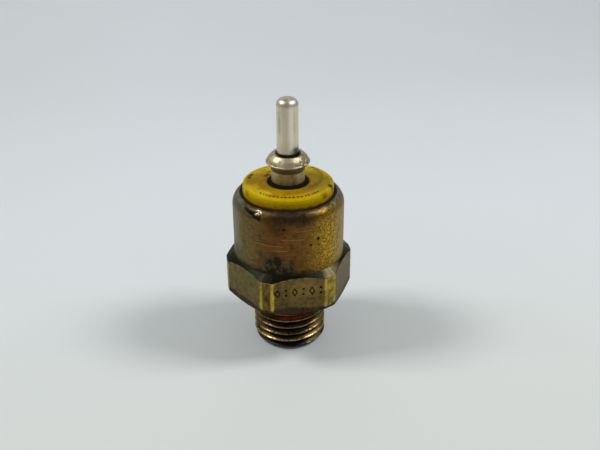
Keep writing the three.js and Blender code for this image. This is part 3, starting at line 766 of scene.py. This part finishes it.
def make_nickel():
    """Warm nickel plate with drawn lines, dull wear and a stain at the pin's foot, a painted reflection on
    the pin, painted light on the neck's sides, and painted shade under the collar and round the pin's foot.
    """
    p = Paint("nickel", 41)
    drawn = p.noise(0.35, 3.0, stretch=(1, 1, 22), seed=43)
    color = p.mix(drawn.step(0.25, 0.75), (0.64, 0.555, 0.41), (0.74, 0.66, 0.52))
    color = color.cover(p.cloud.step(0.5, 0.7), 0.35, (0.5, 0.41, 0.275))
    on_pin = p.z.step(COLLAR_TOP - 0.02, COLLAR_TOP + 0.3)
    # painted reflection: a bright upright band on the pin
    painted_reflection_stripe = p.around(21, 4, 14, 8) * on_pin
    color = color.cover(painted_reflection_stripe, 0.85, (0.88, 0.81, 0.68))
    dull = p.patch(-47, 45.0, 9, 2.4, 1.0, p.mottle)
    color = color.cover(dull, 0.5, (0.3, 0.235, 0.145))
    shade = p.around(-12, 10, 12) * on_pin
    color = color.cover(shade, 0.35, (0.47, 0.395, 0.27))
    on_collar = p.z.step(COLLAR_TOP + 0.02, COLLAR_TOP - 0.02) * p.z.step(COLLAR_BASE - 0.04, COLLAR_BASE)
    color = color.cover(on_collar, 0.9, (0.34, 0.275, 0.16), (0.58, 0.485, 0.31))
    dull_right = on_collar * p.around(48, 16, 14, 16)
    color = color.cover(dull_right, 0.75, (0.2, 0.16, 0.095), (0.4, 0.33, 0.21))
    on_neck = p.z.step(COLLAR_BASE - 0.02, COLLAR_BASE - 0.06)
    color = color.cover(on_neck, 1.0, (0.25, 0.19, 0.095), (0.41, 0.33, 0.185))
    # painted light: the neck lighter at both sides
    side = on_neck * p.math("ABSOLUTE", p.azimuth).step(18, 55)
    color = color.cover(side, 0.9, (0.52, 0.455, 0.27), (0.74, 0.67, 0.45))
    # painted shadow: a dark band on the neck just under the collar
    groove = p.z.band(COLLAR_BASE - 0.32, 0.26, 0.16) * on_neck
    color = color.cover(groove, 0.8, (0.05, 0.036, 0.02))
    # painted shade: a dark ring round the pin's foot in the collar's recess
    painted_sink_shade = p.radius.band(PIN_R + 0.17, 0.22, 0.12) * p.z.band(COLLAR_TOP - 0.1, 0.35, 0.15)
    painted_sink_shade = painted_sink_shade * p.blend(p.around(20, 60, 40), 0.5, 1.0)
    color = color.cover(painted_sink_shade, 0.92, (0.02, 0.015, 0.01))
    grime = p.radius.band(PIN_R + 0.4, 0.35, 0.2) * p.around(20, 40, 30)
    grime = grime * p.z.band(COLLAR_TOP - 0.15, 0.2, 0.15)
    color = color.cover(grime, 0.85, (0.06, 0.048, 0.03), (0.13, 0.105, 0.065))
    lower = p.z.shifted(1.5, p.mottle).step(42.5, 39.5)
    color = color.cover(lower * on_pin, 0.45, (0.42, 0.33, 0.2))
    stain = p.patch(54, 39.6, 30, 0.75, 1.1, p.mottle)
    color = color.cover(stain * on_pin, 0.92, (0.03, 0.022, 0.014), (0.1, 0.075, 0.045))
    pit = p.cells(0.55, seed=3).step(0.34, 0.18) * p.patch(50, 37.8, 24, 1.0, 0.8, p.mottle)
    color = color.cover(pit, 0.85, (0.075, 0.055, 0.032))

    rough = p.blend(p.mottle, 0.20, 0.30)
    rough = p.blend(p.z.step(PIN_TOP - 1.7, PIN_TOP - 1.2), rough, 0.42)
    rough = p.blend(p.either(on_neck, on_collar * 0.9), rough, 0.5)
    rippled = p.mottle * p.blend(on_collar, 0.6, 2.2)
    height = p.grain * 0.25 + rippled + drawn * 0.3 - pit * 1.6
    return p.finish(color, rough, 1.0, height, 0.015)


def make_black_rubber():
    p = Paint("black_rubber", 51)
    color = p.mix(p.mottle, (0.004, 0.004, 0.003), (0.016, 0.014, 0.010))
    p.shader.inputs["Specular IOR Level"].default_value = 0.03
    return p.finish(color, p.blend(p.mottle, 0.6, 0.8), 0.0, p.mottle, 0.03)


def make_metal(name, seed, dark, light, spot, rough):
    """A turned metal with fine rings, a mottle of two tones and a few dull spots."""
    p = Paint(name, seed)
    rings = p.math("SINE", (p.radius + p.z).shifted(0.3, p.grain) * 40)
    color = p.mix(p.mottle.step(0.3, 0.7), dark, light)
    color = color.cover(p.cloud.step(0.58, 0.7), 0.5, spot)
    height = rings * 0.3 + p.grain
    return p.finish(color, p.blend(p.grain, rough, rough + 0.15), 1.0, height, 0.008)


def make_plain_plastic(name, seed, dark, light, rough):
    """A moulded or formed plastic with a faint cloud of tone."""
    p = Paint(name, seed)
    color = p.mix(p.blend(0.5, p.cloud, p.grain).step(0.3, 0.7), dark, light)
    return p.finish(color, p.blend(p.mottle, rough, rough + 0.2), 0.0, p.grain, 0.01)


aged_brass = make_aged_brass()
yellow_plastic = make_yellow_plastic()
nickel = make_nickel()
black_rubber = make_black_rubber()
clean_brass = make_metal(
    "clean_brass", 71, (0.55, 0.38, 0.14), (0.72, 0.54, 0.24), (0.36, 0.22, 0.08), 0.24)
plated_steel = make_metal(
    "plated_steel", 76, (0.42, 0.44, 0.46), (0.60, 0.62, 0.63), (0.50, 0.46, 0.36), 0.32)
silver = make_metal("silver", 81, (0.68, 0.67, 0.63), (0.86, 0.85, 0.82), (0.40, 0.37, 0.32), 0.20)
spring_steel = make_metal(
    "spring_steel", 86, (0.26, 0.27, 0.29), (0.42, 0.43, 0.45), (0.24, 0.18, 0.12), 0.22)
white_plastic = make_plain_plastic("white_plastic", 91, (0.60, 0.57, 0.48), (0.76, 0.74, 0.66), 0.4)
amber_film = make_plain_plastic("amber_film", 96, (0.34, 0.13, 0.015), (0.50, 0.22, 0.03), 0.2)

# ---- Outside pieces ----


def hex_angles():
    """Directions of the housing's columns, closest together at the hexagon's edges."""
    edge = math.acos(HEX_HALF / HEX_CORNER_R)
    near = math.radians(0.55)
    flat_steps = 18
    half = [(edge - near) * k / flat_steps for k in range(flat_steps + 1)]
    half += [edge - near / 2, edge, edge + near / 2, edge + near]
    strip = math.radians(30) - edge - near
    half += [edge + near + strip * k / 2 for k in (1, 2)]
    mirrored = [-a for a in half[1:-1]]
    one = sorted(mirrored + half)
    return [a + math.radians(60 * side - 90) for side in range(6) for a in one]


def hex_radius(angle):
    """Radius of the milled bar in a direction, with its corner edges just broken."""
    from_flat = (angle + math.pi / 2 + math.pi / 6) % (math.pi / 3) - math.pi / 6
    flat = HEX_HALF / math.cos(from_flat)
    soft = 0.05
    blend = max(soft - abs(flat - HEX_CORNER_R), 0) / soft
    return min(flat, HEX_CORNER_R) - blend * blend * soft / 4


def housing_outline(angle):
    """The housing's section in a direction, without its thread: outside, then rim, then bore."""
    root_r = THREAD_R - THREAD_DEPTH
    relief_z = STUD_LENGTH + SEAT_RELIEF
    hex_r = hex_radius(angle)
    beyond = hex_r - BODY_R
    roll_r = BODY_R - RIM_ROLL_R
    return rounded([
        (PORT_R + PORT_CHAMFER, 0, 0.05),
        (STUD_END_R, 0, 0.12),
        (root_r, root_r - STUD_END_R),
        (root_r, THREAD_TOP, 0.1),
        (UNDERCUT_R, THREAD_TOP + root_r - UNDERCUT_R, 0.2),
        (UNDERCUT_R, relief_z, 0.3),
        (THREAD_R, relief_z, 0.1),
        (THREAD_R + SEAT_RELIEF, STUD_LENGTH, 0.08),
        (BODY_R, STUD_LENGTH, 0.25),
        (hex_r, STUD_LENGTH + HEX_BOTTOM_SLOPE * beyond, 0.14),
        (hex_r, HEX_TOP - HEX_TOP_SLOPE * beyond, 0.14),
        (BODY_R, HEX_TOP, 0.25),
        *arc(roll_r, RIM_TOP - RIM_ROLL_HEIGHT, RIM_ROLL_R, RIM_ROLL_HEIGHT, 0, 84, 14),
        (DISC_R + 0.08, RIM_TOP, 0.16),
        (DISC_R + 0.08, RIM_UNDERSIDE, 0.1),
        (RIM_BORE_R, RIM_UNDERSIDE, 0.2),
        (RIM_BORE_R, RIM_BORE_Z, 0.1),
        (BORE_R, RIM_BORE_Z, 0.1),
        (BORE_R, FLOOR_Z),
        (GROOVE_OUTER, FLOOR_Z, 0.05),
        (GROOVE_OUTER, FLOOR_Z - GROOVE_DEPTH, 0.1),
        (GROOVE_INNER, FLOOR_Z - GROOVE_DEPTH, 0.1),
        (GROOVE_INNER, FLOOR_Z, 0.05),
        (RECESS_R, FLOOR_Z, 0.05),
        (RECESS_R, FLOOR_Z - RECESS_DEPTH, 0.1),
        (PORT_R, FLOOR_Z - RECESS_DEPTH, 0.08),
        (PORT_R, PORT_CHAMFER),
    ])


def thread_ridge(name, radius, pitch, crest_z, bottom, top, envelope, steps):
    """A 60-degree thread's ridge with broken crests, trimmed to an envelope's outline."""
    depth = THREAD_SHAPE * pitch
    buried = 0.15 * depth
    crest = pitch / 16
    slope = math.tan(math.radians(30))
    shoulder = pitch / 30
    foot = crest + (depth + buried) * slope
    upper = [
        (0, crest * 0.35),
        (-shoulder * 0.25, crest * 0.8),
        (-shoulder, crest + shoulder * slope),
        (-depth - buried, foot),
    ]
    section = [(out, -up) for out, up in reversed(upper)] + upper
    start = crest_z - pitch * math.ceil((crest_z - bottom) / pitch + 1)
    turns = math.ceil((top - start) / pitch) + 1
    ridge = coiled(name, section, radius, start, turns, lambda turn: turn * pitch, steps)
    return combine(ridge, [turned("envelope", envelope, steps)], "INTERSECT")


def stud_ridge():
    """The stud's thread, chamfered at its end and run out below the undercut."""
    inner = THREAD_R - THREAD_DEPTH * 1.08
    run_out = 0.5
    envelope = [
        (inner, STUD_END_R - inner + 1),
        (STUD_END_R + 0.28, 0.28),
        (THREAD_R, 1.0, 0.3),
        (THREAD_R, THREAD_TOP - run_out, 0.3),
        (inner, THREAD_TOP + run_out),
    ]
    return thread_ridge(
        "ridge", THREAD_R, THREAD_PITCH, THREAD_START_Z, 0, THREAD_TOP, envelope, 144,
    )


def punched_marks():
    """Cutters for the generic marks: upright diamonds with pairs of dots between them."""
    facing = Matrix.Rotation(math.pi / 2, 4, "X")
    groove = [(0.42, -MARK_DEPTH), (0.54, -MARK_DEPTH), (0.66, 0.1), (0.30, 0.1)]
    dimple = [(0, -MARK_DEPTH), (0.14, -MARK_DEPTH), (0.34, 0.1), (0, 0.1)]
    cutters = []
    for k in range(MARK_COUNT):
        x = (k - (MARK_COUNT - 1) / 2) * MARK_PITCH
        if k % 2 == 0:
            diamond = turned("mark", groove, 4)
            cutters.append(placed(diamond, x, -HEX_HALF, MARK_Z, facing, (0.95, 1.6, 1)))
            continue
        for up in (-0.55, 0.55):
            dot = turned("mark", dimple, 12)
            cutters.append(placed(dot, x, -HEX_HALF, MARK_Z + up, facing))
    return cutters


def make_housing():
    """The whole body: a lofted shell with a worn, dented rim, its thread and its marks."""
    counts = stretch_counts(housing_outline(-math.pi / 2), 0.8)
    shell = lofted(
        "housing_shell",
        lambda angle: split_stretches(housing_outline(angle), counts),
        hex_angles(),
    )
    wavy(shell, RIM_TOP - 1.4, 1.5, 0.07)
    pressed(shell, [
        (-34, 9.9, 30.9, 0.45, 0.13),
        (-27, 10.1, 30.6, 0.35, 0.10),
        (-40, 10.2, 30.3, 0.5, 0.10),
        (14, 10.0, 30.8, 0.5, 0.07),
        (40, 9.8, 31.0, 0.4, 0.09),
        (58, 9.9, 30.9, 0.5, 0.08),
        (-4, BODY_R, 28.5, 0.22, 0.06),
        (23, BODY_R, 25.0, 0.3, 0.08),
        (31, BODY_R, 26.0, 0.4, 0.07),
        (140, BODY_R, 27.0, 0.5, 0.09),
        (-140, 9.8, 31.0, 0.6, 0.10),
    ])
    combine(shell, [stud_ridge()], "UNION")
    combine(shell, punched_marks(), "DIFFERENCE")
    finish_piece(shell, "housing", aged_brass)


def make_insulator():
    """The moulded disc, with a slightly worn top and a few nicks in it."""
    skirt_base = low("insulator").z
    made = turned("insulator_disc", [
        (SHANK_R + PRESSED, ROOF_Z),
        (SKIRT_INNER, ROOF_Z, 0.3),
        (SKIRT_INNER, skirt_base, 0.08),
        (DROP_R, skirt_base, 0.08),
        (DROP_R, FLANGE_BASE, 0.1),
        (FLANGE_R, FLANGE_BASE, 0.08),
        (FLANGE_R, FLANGE_TOP, 0.08),
        (DISC_R, FLANGE_TOP, 0.08),
        (DISC_R, DISC_TOP, DISC_ROUND),
        (COUNTERBORE_R + PRESSED, DISC_TOP, 0.12),
        (COUNTERBORE_R + PRESSED, COUNTERBORE_Z, 0.05),
        (SHANK_R + PRESSED, COUNTERBORE_Z),
    ], FINE, 0.5)
    wavy(made, DISC_TOP - 0.9, 2.5, 0.06)
    chip = [(0, -0.3), (0.32, 0), (0, 0.3)]
    nicks = []
    for azimuth, radius, length in ((-107, 7.55, 1.9), (75, 7.95, 1.3), (82, 7.6, 0.8), (-140, 5.6, 0.7)):
        around = Matrix.Rotation(part_direction(azimuth + 20), 4, "Z")
        place = part_point(azimuth, radius, DISC_TOP)
        nicks.append(placed(turned("chip", chip, 7), *place, around, (length, 0.6, 1)))
    combine(made, nicks, "DIFFERENCE")
    finish_piece(made, "insulator", yellow_plastic)


def make_grommet():
    """The rubber ring in the insulator's counterbore, with a bead above its top."""
    turned_piece("neck_grommet", "terminal_grommet", black_rubber, [
        (NECK_R + PRESSED, COUNTERBORE_Z),
        (COUNTERBORE_R, COUNTERBORE_Z),
        (COUNTERBORE_R, DISC_TOP - 0.2, 0.1),
        (NECK_R + GROMMET_LIP, DISC_TOP + 0.27, 0.15),
        (NECK_R + PRESSED, high("terminal_grommet").z, 0.1),
    ])


def make_sleeve():
    """The neck and shank, with four turning marks on the neck and a peened lower end."""
    base = low("terminal_sleeve").z
    washer_base = low("terminal_washer").z
    peen_r = high("terminal_sleeve").x
    stem_base = low("terminal_pin").z
    grooves = []
    for k in range(4):
        z = COUNTERBORE_Z + 2.4 + 0.55 * k
        grooves += [(NECK_R, z - 0.09), (NECK_R - 0.014, z), (NECK_R, z + 0.09)]
    turned_piece("neck_sleeve", "terminal_sleeve", nickel, [
        (SCREW_BORE_R, base, 0.05),
        (peen_r - 0.35, base, 0.15),
        (peen_r, washer_base - 0.17, 0.1),
        (peen_r, washer_base),
        (SHANK_R, washer_base),
        (SHANK_R, COUNTERBORE_Z),
        (NECK_R, COUNTERBORE_Z),
        *grooves,
        (NECK_R, COLLAR_BASE),
        (STEM_R + PRESSED, COLLAR_BASE),
        (STEM_R + PRESSED, stem_base),
        (SCREW_BORE_R, stem_base),
    ])


def make_collar():
    """The bevelled collar: widest at a narrow waist band, crowned above it, dented by use."""
    waist = COLLAR_BASE + 0.8
    bevel = 0.125
    above = waist + 2 * bevel
    crown_r = (COLLAR_R + COLLAR_LAND_R) / 2 + 0.12
    crown_z = (above + COLLAR_TOP) / 2
    made = turned("collar_ring", [
        (PIN_R + PRESSED, COLLAR_BASE),
        (NECK_R + 0.1, COLLAR_BASE, 0.06),
        (COLLAR_R - bevel, waist - bevel, 0.15),
        (COLLAR_R, waist, 0.1),
        (COLLAR_R, waist + bevel, 0.1),
        (COLLAR_R - bevel, above, 0.4),
        (crown_r, crown_z, 1.6),
        (COLLAR_LAND_R, COLLAR_TOP, 0.25),
        (COLLAR_LAND_R - 0.5, COLLAR_TOP, 0.1),
        (PIN_R + PRESSED, COLLAR_TOP - COLLAR_SINK),
    ], FINE, 0.12)
    pressed(made, [
        (52, 3.9, 37.7, 0.34, 0.15),
        (42, 3.7, 38.1, 0.26, 0.13),
        (61, 3.6, 38.2, 0.30, 0.12),
        (45, 4.0, 37.2, 0.28, 0.13),
        (-36, 4.0, 37.4, 0.30, 0.10),
        (-20, 3.6, 38.2, 0.40, 0.07),
        (8, 4.0, 37.3, 0.35, 0.07),
        (150, 3.9, 37.6, 0.50, 0.08),
    ])
    finish_piece(made, "terminal_collar", nickel)


def make_pin():
    """The round pin, domed at its tip, on a thinner stem pressed into the sleeve."""
    stem_base = low("terminal_pin").z
    made = turned("contact_pin", [
        (0, stem_base),
        (STEM_R, stem_base, 0.1),
        (STEM_R, COLLAR_BASE),
        (PIN_R, COLLAR_BASE),
        *arc(PIN_R - PIN_ROUND, PIN_TOP - PIN_ROUND, PIN_ROUND, PIN_ROUND, 0, 84, 10),
        (0.6, PIN_TOP, 0.1),
        (0, PIN_TOP),
    ], INSIDE, 0.5)
    pressed(made, [(-45, PIN_R, 46.0, 0.4, 0.05), (30, PIN_R, 40.6, 0.4, 0.04)])
    finish_piece(made, "terminal_pin", nickel)


# ---- Pieces inside ----


def make_seal():
    """The O-ring, squeezed to its groove's shape."""
    centre_r = (GROOVE_INNER + GROOVE_OUTER) / 2
    half_width = (GROOVE_OUTER - GROOVE_INNER) / 2 - PRESSED
    half_height = GROOVE_DEPTH / 2 - PRESSED
    outline = arc(centre_r, FLOOR_Z - GROOVE_DEPTH / 2, half_width, half_height, 0, 345, 23)
    turned_piece("pressure_seal", "diaphragm_seal", black_rubber, outline)


def make_diaphragm():
    """The formed film, with a flat rim and a raised centre. It is attached to no body."""
    film = 0.25
    top = high("diaphragm").z
    foot_r = RECESS_R + 0.25
    shoulder_r = foot_r - 0.85
    made = turned("pressure_film", [
        (0, top - film),
        (shoulder_r - film, top - film, 0.25),
        (foot_r - film, FLOOR_Z, 0.25),
        (DROP_R, FLOOR_Z, 0.03),
        (DROP_R, FLOOR_Z + film, 0.03),
        (foot_r, FLOOR_Z + film, 0.25),
        (shoulder_r, top, 0.25),
        (0, top),
    ], INSIDE, 0.15)
    finish_piece(made, "diaphragm", amber_film, body=None)
    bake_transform(made)


def make_support_ring():
    """It clamps the film's rim, and its ceiling stops the pressure plate."""
    base, top, outer = extent("support_ring")
    ceiling = high("pressure_plate").z + TRAVEL + PRESSED
    guide_r = high("plunger").x + 0.08
    pocket_r = RECESS_R + 0.5
    turned_piece("guide_ring", "support_ring", plated_steel, [
        (pocket_r, base, 0.1),
        (outer, base, 0.08),
        (outer, top, 0.12),
        (guide_r, top, 0.1),
        (guide_r, ceiling, 0.1),
        (pocket_r, ceiling, 0.3),
    ])


def make_pressure_plate():
    """The plate that the film lifts, pressed on the plunger's foot."""
    base, top, outer = extent("pressure_plate")
    inner = SPIGOT_R + PRESSED
    turned_piece("lift_plate", "pressure_plate", clean_brass, [
        (inner, base), (outer, base, 0.15), (outer, top, 0.1), (inner, top),
    ], "contact_stack")


def make_plunger():
    """The insulating rod from the pressure plate up to the contact plate."""
    base, top, radius = extent("plunger")
    plate_top = high("pressure_plate").z
    turned_piece("push_rod", "plunger", white_plastic, [
        (0, base), (SPIGOT_R, base, 0.15), (SPIGOT_R, plate_top), (radius, plate_top, 0.08),
        (radius, top, 0.1), (0, top),
    ], "contact_stack")


def make_earth_ring():
    """The fixed contact, with a raised land under the silver tips."""
    base, top, outer = extent("earth_contact_ring")
    ring_top = low("insulator").z
    land = 0.6
    inner = TIP_CIRCLE - land - 0.7
    turned_piece("earth_ring", "earth_contact_ring", clean_brass, [
        (inner, base, 0.08),
        (outer, base, 0.08),
        (outer, ring_top, 0.06),
        (TIP_CIRCLE + land, ring_top, 0.1),
        (TIP_CIRCLE + land, top, 0.12),
        (TIP_CIRCLE - land, top, 0.12),
        (TIP_CIRCLE - land, ring_top, 0.1),
        (inner, ring_top, 0.08),
    ])


def tip_place(k):
    """Where a contact tip stands, in millimetres."""
    angle = math.pi / 2 + 2 * math.pi * k / TIP_COUNT
    return TIP_CIRCLE * math.cos(angle), TIP_CIRCLE * math.sin(angle)


def make_contact_plate():
    """The live plate, with a boss that centres the spring and a hole for each rivet."""
    base, top, radius = extent("contact_plate")
    plate_top = base + PLATE_THICK
    made = turned("moving_contact", [
        (0, base), (radius, base, 0.12), (radius, plate_top, 0.12), (BOSS_R, plate_top, 0.1),
        (BOSS_R, top, 0.2), (0, top),
    ], INSIDE)
    holes = []
    for k in range(TIP_COUNT):
        hole = turned("hole", [(0, -1), (RIVET_R + PRESSED, -1), (RIVET_R + PRESSED, 1), (0, 1)], 24)
        holes.append(placed(hole, *tip_place(k), base))
    combine(made, holes, "DIFFERENCE")
    finish_piece(made, "contact_plate", clean_brass, "contact_stack")


def make_tip(k):
    """A silver rivet: its domed face below the plate, its headed tail above."""
    base, top, _ = extent("contact_tip_1")
    plate_base = low("contact_plate").z
    plate_top = plate_base + PLATE_THICK
    face_r = 0.72
    tail_r = 0.58
    made = turned(f"contact_rivet_{k + 1}", [
        (0, base), (0.4, base, 0.1), (face_r, base + 0.13, 0.15), (face_r, plate_base, 0.04),
        (RIVET_R, plate_base), (RIVET_R, plate_top), (tail_r, plate_top),
        (tail_r, plate_top + 0.12, 0.08), (0.35, top, 0.1), (0, top),
    ], 40)
    placed(made, *tip_place(k), 0)
    finish_piece(made, f"contact_tip_{k + 1}", silver, "contact_stack")


def make_spring():
    """A compression spring with closed end coils."""
    seat = low("contact_plate").z + PLATE_THICK
    cap = high("spring_cap").z - PLATE_THICK
    bottom = seat + WIRE_R + PRESSED
    closed = 2 * WIRE_R + PRESSED
    open_turns = 3
    open_rise = cap - seat - 2 * WIRE_R - 2 * PRESSED - 2 * closed

    def rise(turn):
        opened = min(max(turn - 1, 0), open_turns)
        ends = turn - opened
        return ends * closed + open_rise * opened / open_turns

    section = arc(0, 0, WIRE_R * 0.98, WIRE_R * 0.98, 0, 337.5, 15)
    made = coiled("load_spring", section, COIL_R, bottom, open_turns + 2, rise, 48)
    finish_piece(made, "contact_spring", spring_steel)
    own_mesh(made)


def make_spring_cap():
    """The flanged seat between the spring and the adjusting screw."""
    base, top, radius = extent("spring_cap")
    flange = top - PLATE_THICK
    turned_piece("spring_seat", "spring_cap", clean_brass, [
        (0, base), (BOSS_R, base, 0.2), (BOSS_R, flange, 0.1), (radius, flange, 0.1),
        (radius, top, 0.12), (0, top),
    ])


def make_adjusting_screw():
    """A threaded core with a screwdriver slot, cut by a square block squeezed to its width."""
    base, top, crest = extent("adjusting_screw")
    root = crest - THREAD_SHAPE * SCREW_PITCH
    made = turned("load_screw", [(0, base), (root, base, 0.1), (root, top, 0.1), (0, top)], 48)
    end = 0.45
    envelope = [
        (root - 0.05, base + 0.1), (crest, base + end), (crest, top - end), (root - 0.05, top - 0.1),
    ]
    ridge = thread_ridge(
        "screw_ridge", crest, SCREW_PITCH, low("spring_cap").z, base, top, envelope, 48,
    )
    combine(made, [ridge], "UNION")
    deep = 0.8
    slot = turned("slot", [(0, -deep), (4, -deep), (4, deep), (0, deep)], 4)
    slot.data.transform(Matrix.Rotation(math.pi / 4, 4, "Z"))
    placed(slot, 0, 0, top, None, (1, 0.09, 1))
    combine(made, [slot], "DIFFERENCE")
    finish_piece(made, "adjusting_screw", clean_brass)


def make_flat_ring(name, node, inner, edge, material):
    """A washer or gasket of the CAD node's height and outer radius."""
    base, top, outer = extent(node)
    turned_piece(name, node, material, [
        (inner, base, edge), (outer, base, edge), (outer, top, edge), (inner, top, edge),
    ])


make_housing()
make_insulator()
make_grommet()
make_sleeve()
make_collar()
make_pin()
make_seal()
make_diaphragm()
make_support_ring()
make_pressure_plate()
make_plunger()
make_earth_ring()
make_contact_plate()
for tip in range(TIP_COUNT):
    make_tip(tip)
make_spring()
make_spring_cap()
make_adjusting_screw()
make_flat_ring("sleeve_washer", "terminal_washer", SHANK_R + PRESSED, 0.1, plated_steel)
make_flat_ring("lip_gasket", "rim_gasket", DISC_R + PRESSED, 0.04, black_rubber)

# ---- Stage ----

LAMP_SIZE = 0.12  # metres
LAMP_DISTANCE = 0.42  # metres
LAMP_POWER = 0.83  # watts
LAMP_ELEVATION = math.radians(50)


def make_floor():
    """A pale floor that curves up into a backdrop. Its profile is in metres."""
    paint = Paint("backdrop", 61)
    cloud = paint.noise(60, 2.0)
    far = paint.mix(cloud, (0.72, 0.755, 0.77), (0.75, 0.78, 0.79))
    near = paint.mix(cloud, (0.685, 0.705, 0.665), (0.71, 0.73, 0.69))
    color = paint.mix(paint.y.step(60, -60), far, near)
    # painted shade: the floor darker towards the left
    color = color.cover(paint.x.step(-10, -150), 0.45, (0.58, 0.6, 0.57))
    material = paint.finish(color, 0.85)
    bm = bmesh.new()
    width, front, back, rise, bend = 1.2, -0.5, 0.35, 0.6, 0.2
    profile = [(front, 0.0)]
    for k in range(13):
        angle = math.radians(90 * k / 12)
        profile.append((back - bend + bend * math.sin(angle), bend - bend * math.cos(angle)))
    profile.append((back, rise))
    rows = [[bm.verts.new((x, y, z)) for x in (-width, width)] for y, z in profile]
    for a, b in zip(rows, rows[1:]):
        bm.faces.new([a[0], a[1], b[1], b[0]])
    floor = new_object("floor", bm)
    for polygon in floor.data.polygons:
        polygon.use_smooth = True
    floor.data.materials.append(material)


def make_lamp(name, azimuth):
    """A soft square lamp, high to one side, that faces the switch."""
    lamp = bpy.data.lights.new(name, "AREA")
    lamp.size = LAMP_SIZE
    lamp.energy = LAMP_POWER
    made = in_scene(name, lamp)
    away = part_point(azimuth, math.cos(LAMP_ELEVATION), math.sin(LAMP_ELEVATION))  # length 1
    made.location = Vector((0, 0, 25 * MM)) + away * LAMP_DISTANCE
    made.rotation_euler = away.to_track_quat("Z", "Y").to_euler()


def make_camera():
    """A camera that looks at the switch from CAMERA_AZIMUTH, with the aim a little to its right."""
    data = bpy.data.cameras.new("camera")
    data.lens = CAMERA_LENS
    data.sensor_width = 36
    data.clip_start = 0.005
    camera = in_scene("camera", data)
    around = Matrix.Rotation(math.radians(CAMERA_AZIMUTH), 4, "Z")
    tilt = Matrix.Rotation(math.radians(90 - CAMERA_ELEVATION), 4, "X")
    roll = Matrix.Rotation(math.radians(CAMERA_ROLL), 4, "Z")
    aim = around @ Vector((AIM_RIGHT, 0, AIM_HEIGHT)) * MM
    away = Matrix.Translation((0, 0, CAMERA_DISTANCE * MM))
    camera.matrix_world = Matrix.Translation(aim) @ around @ tilt @ away @ roll
    bpy.context.scene.camera = camera


def make_world():
    """Soft, faintly blue light from all round, shown without a film look."""
    world = bpy.data.worlds.new("studio")
    world.use_nodes = True
    background = world.node_tree.nodes["Background"]
    background.inputs["Color"].default_value = (0.80, 0.86, 0.90, 1)
    background.inputs["Strength"].default_value = 0.29
    bpy.context.scene.world = world
    bpy.context.scene.view_settings.view_transform = "Standard"


make_floor()
make_lamp("window_left", -88)
make_lamp("window_right", 88)
make_camera()
make_world()
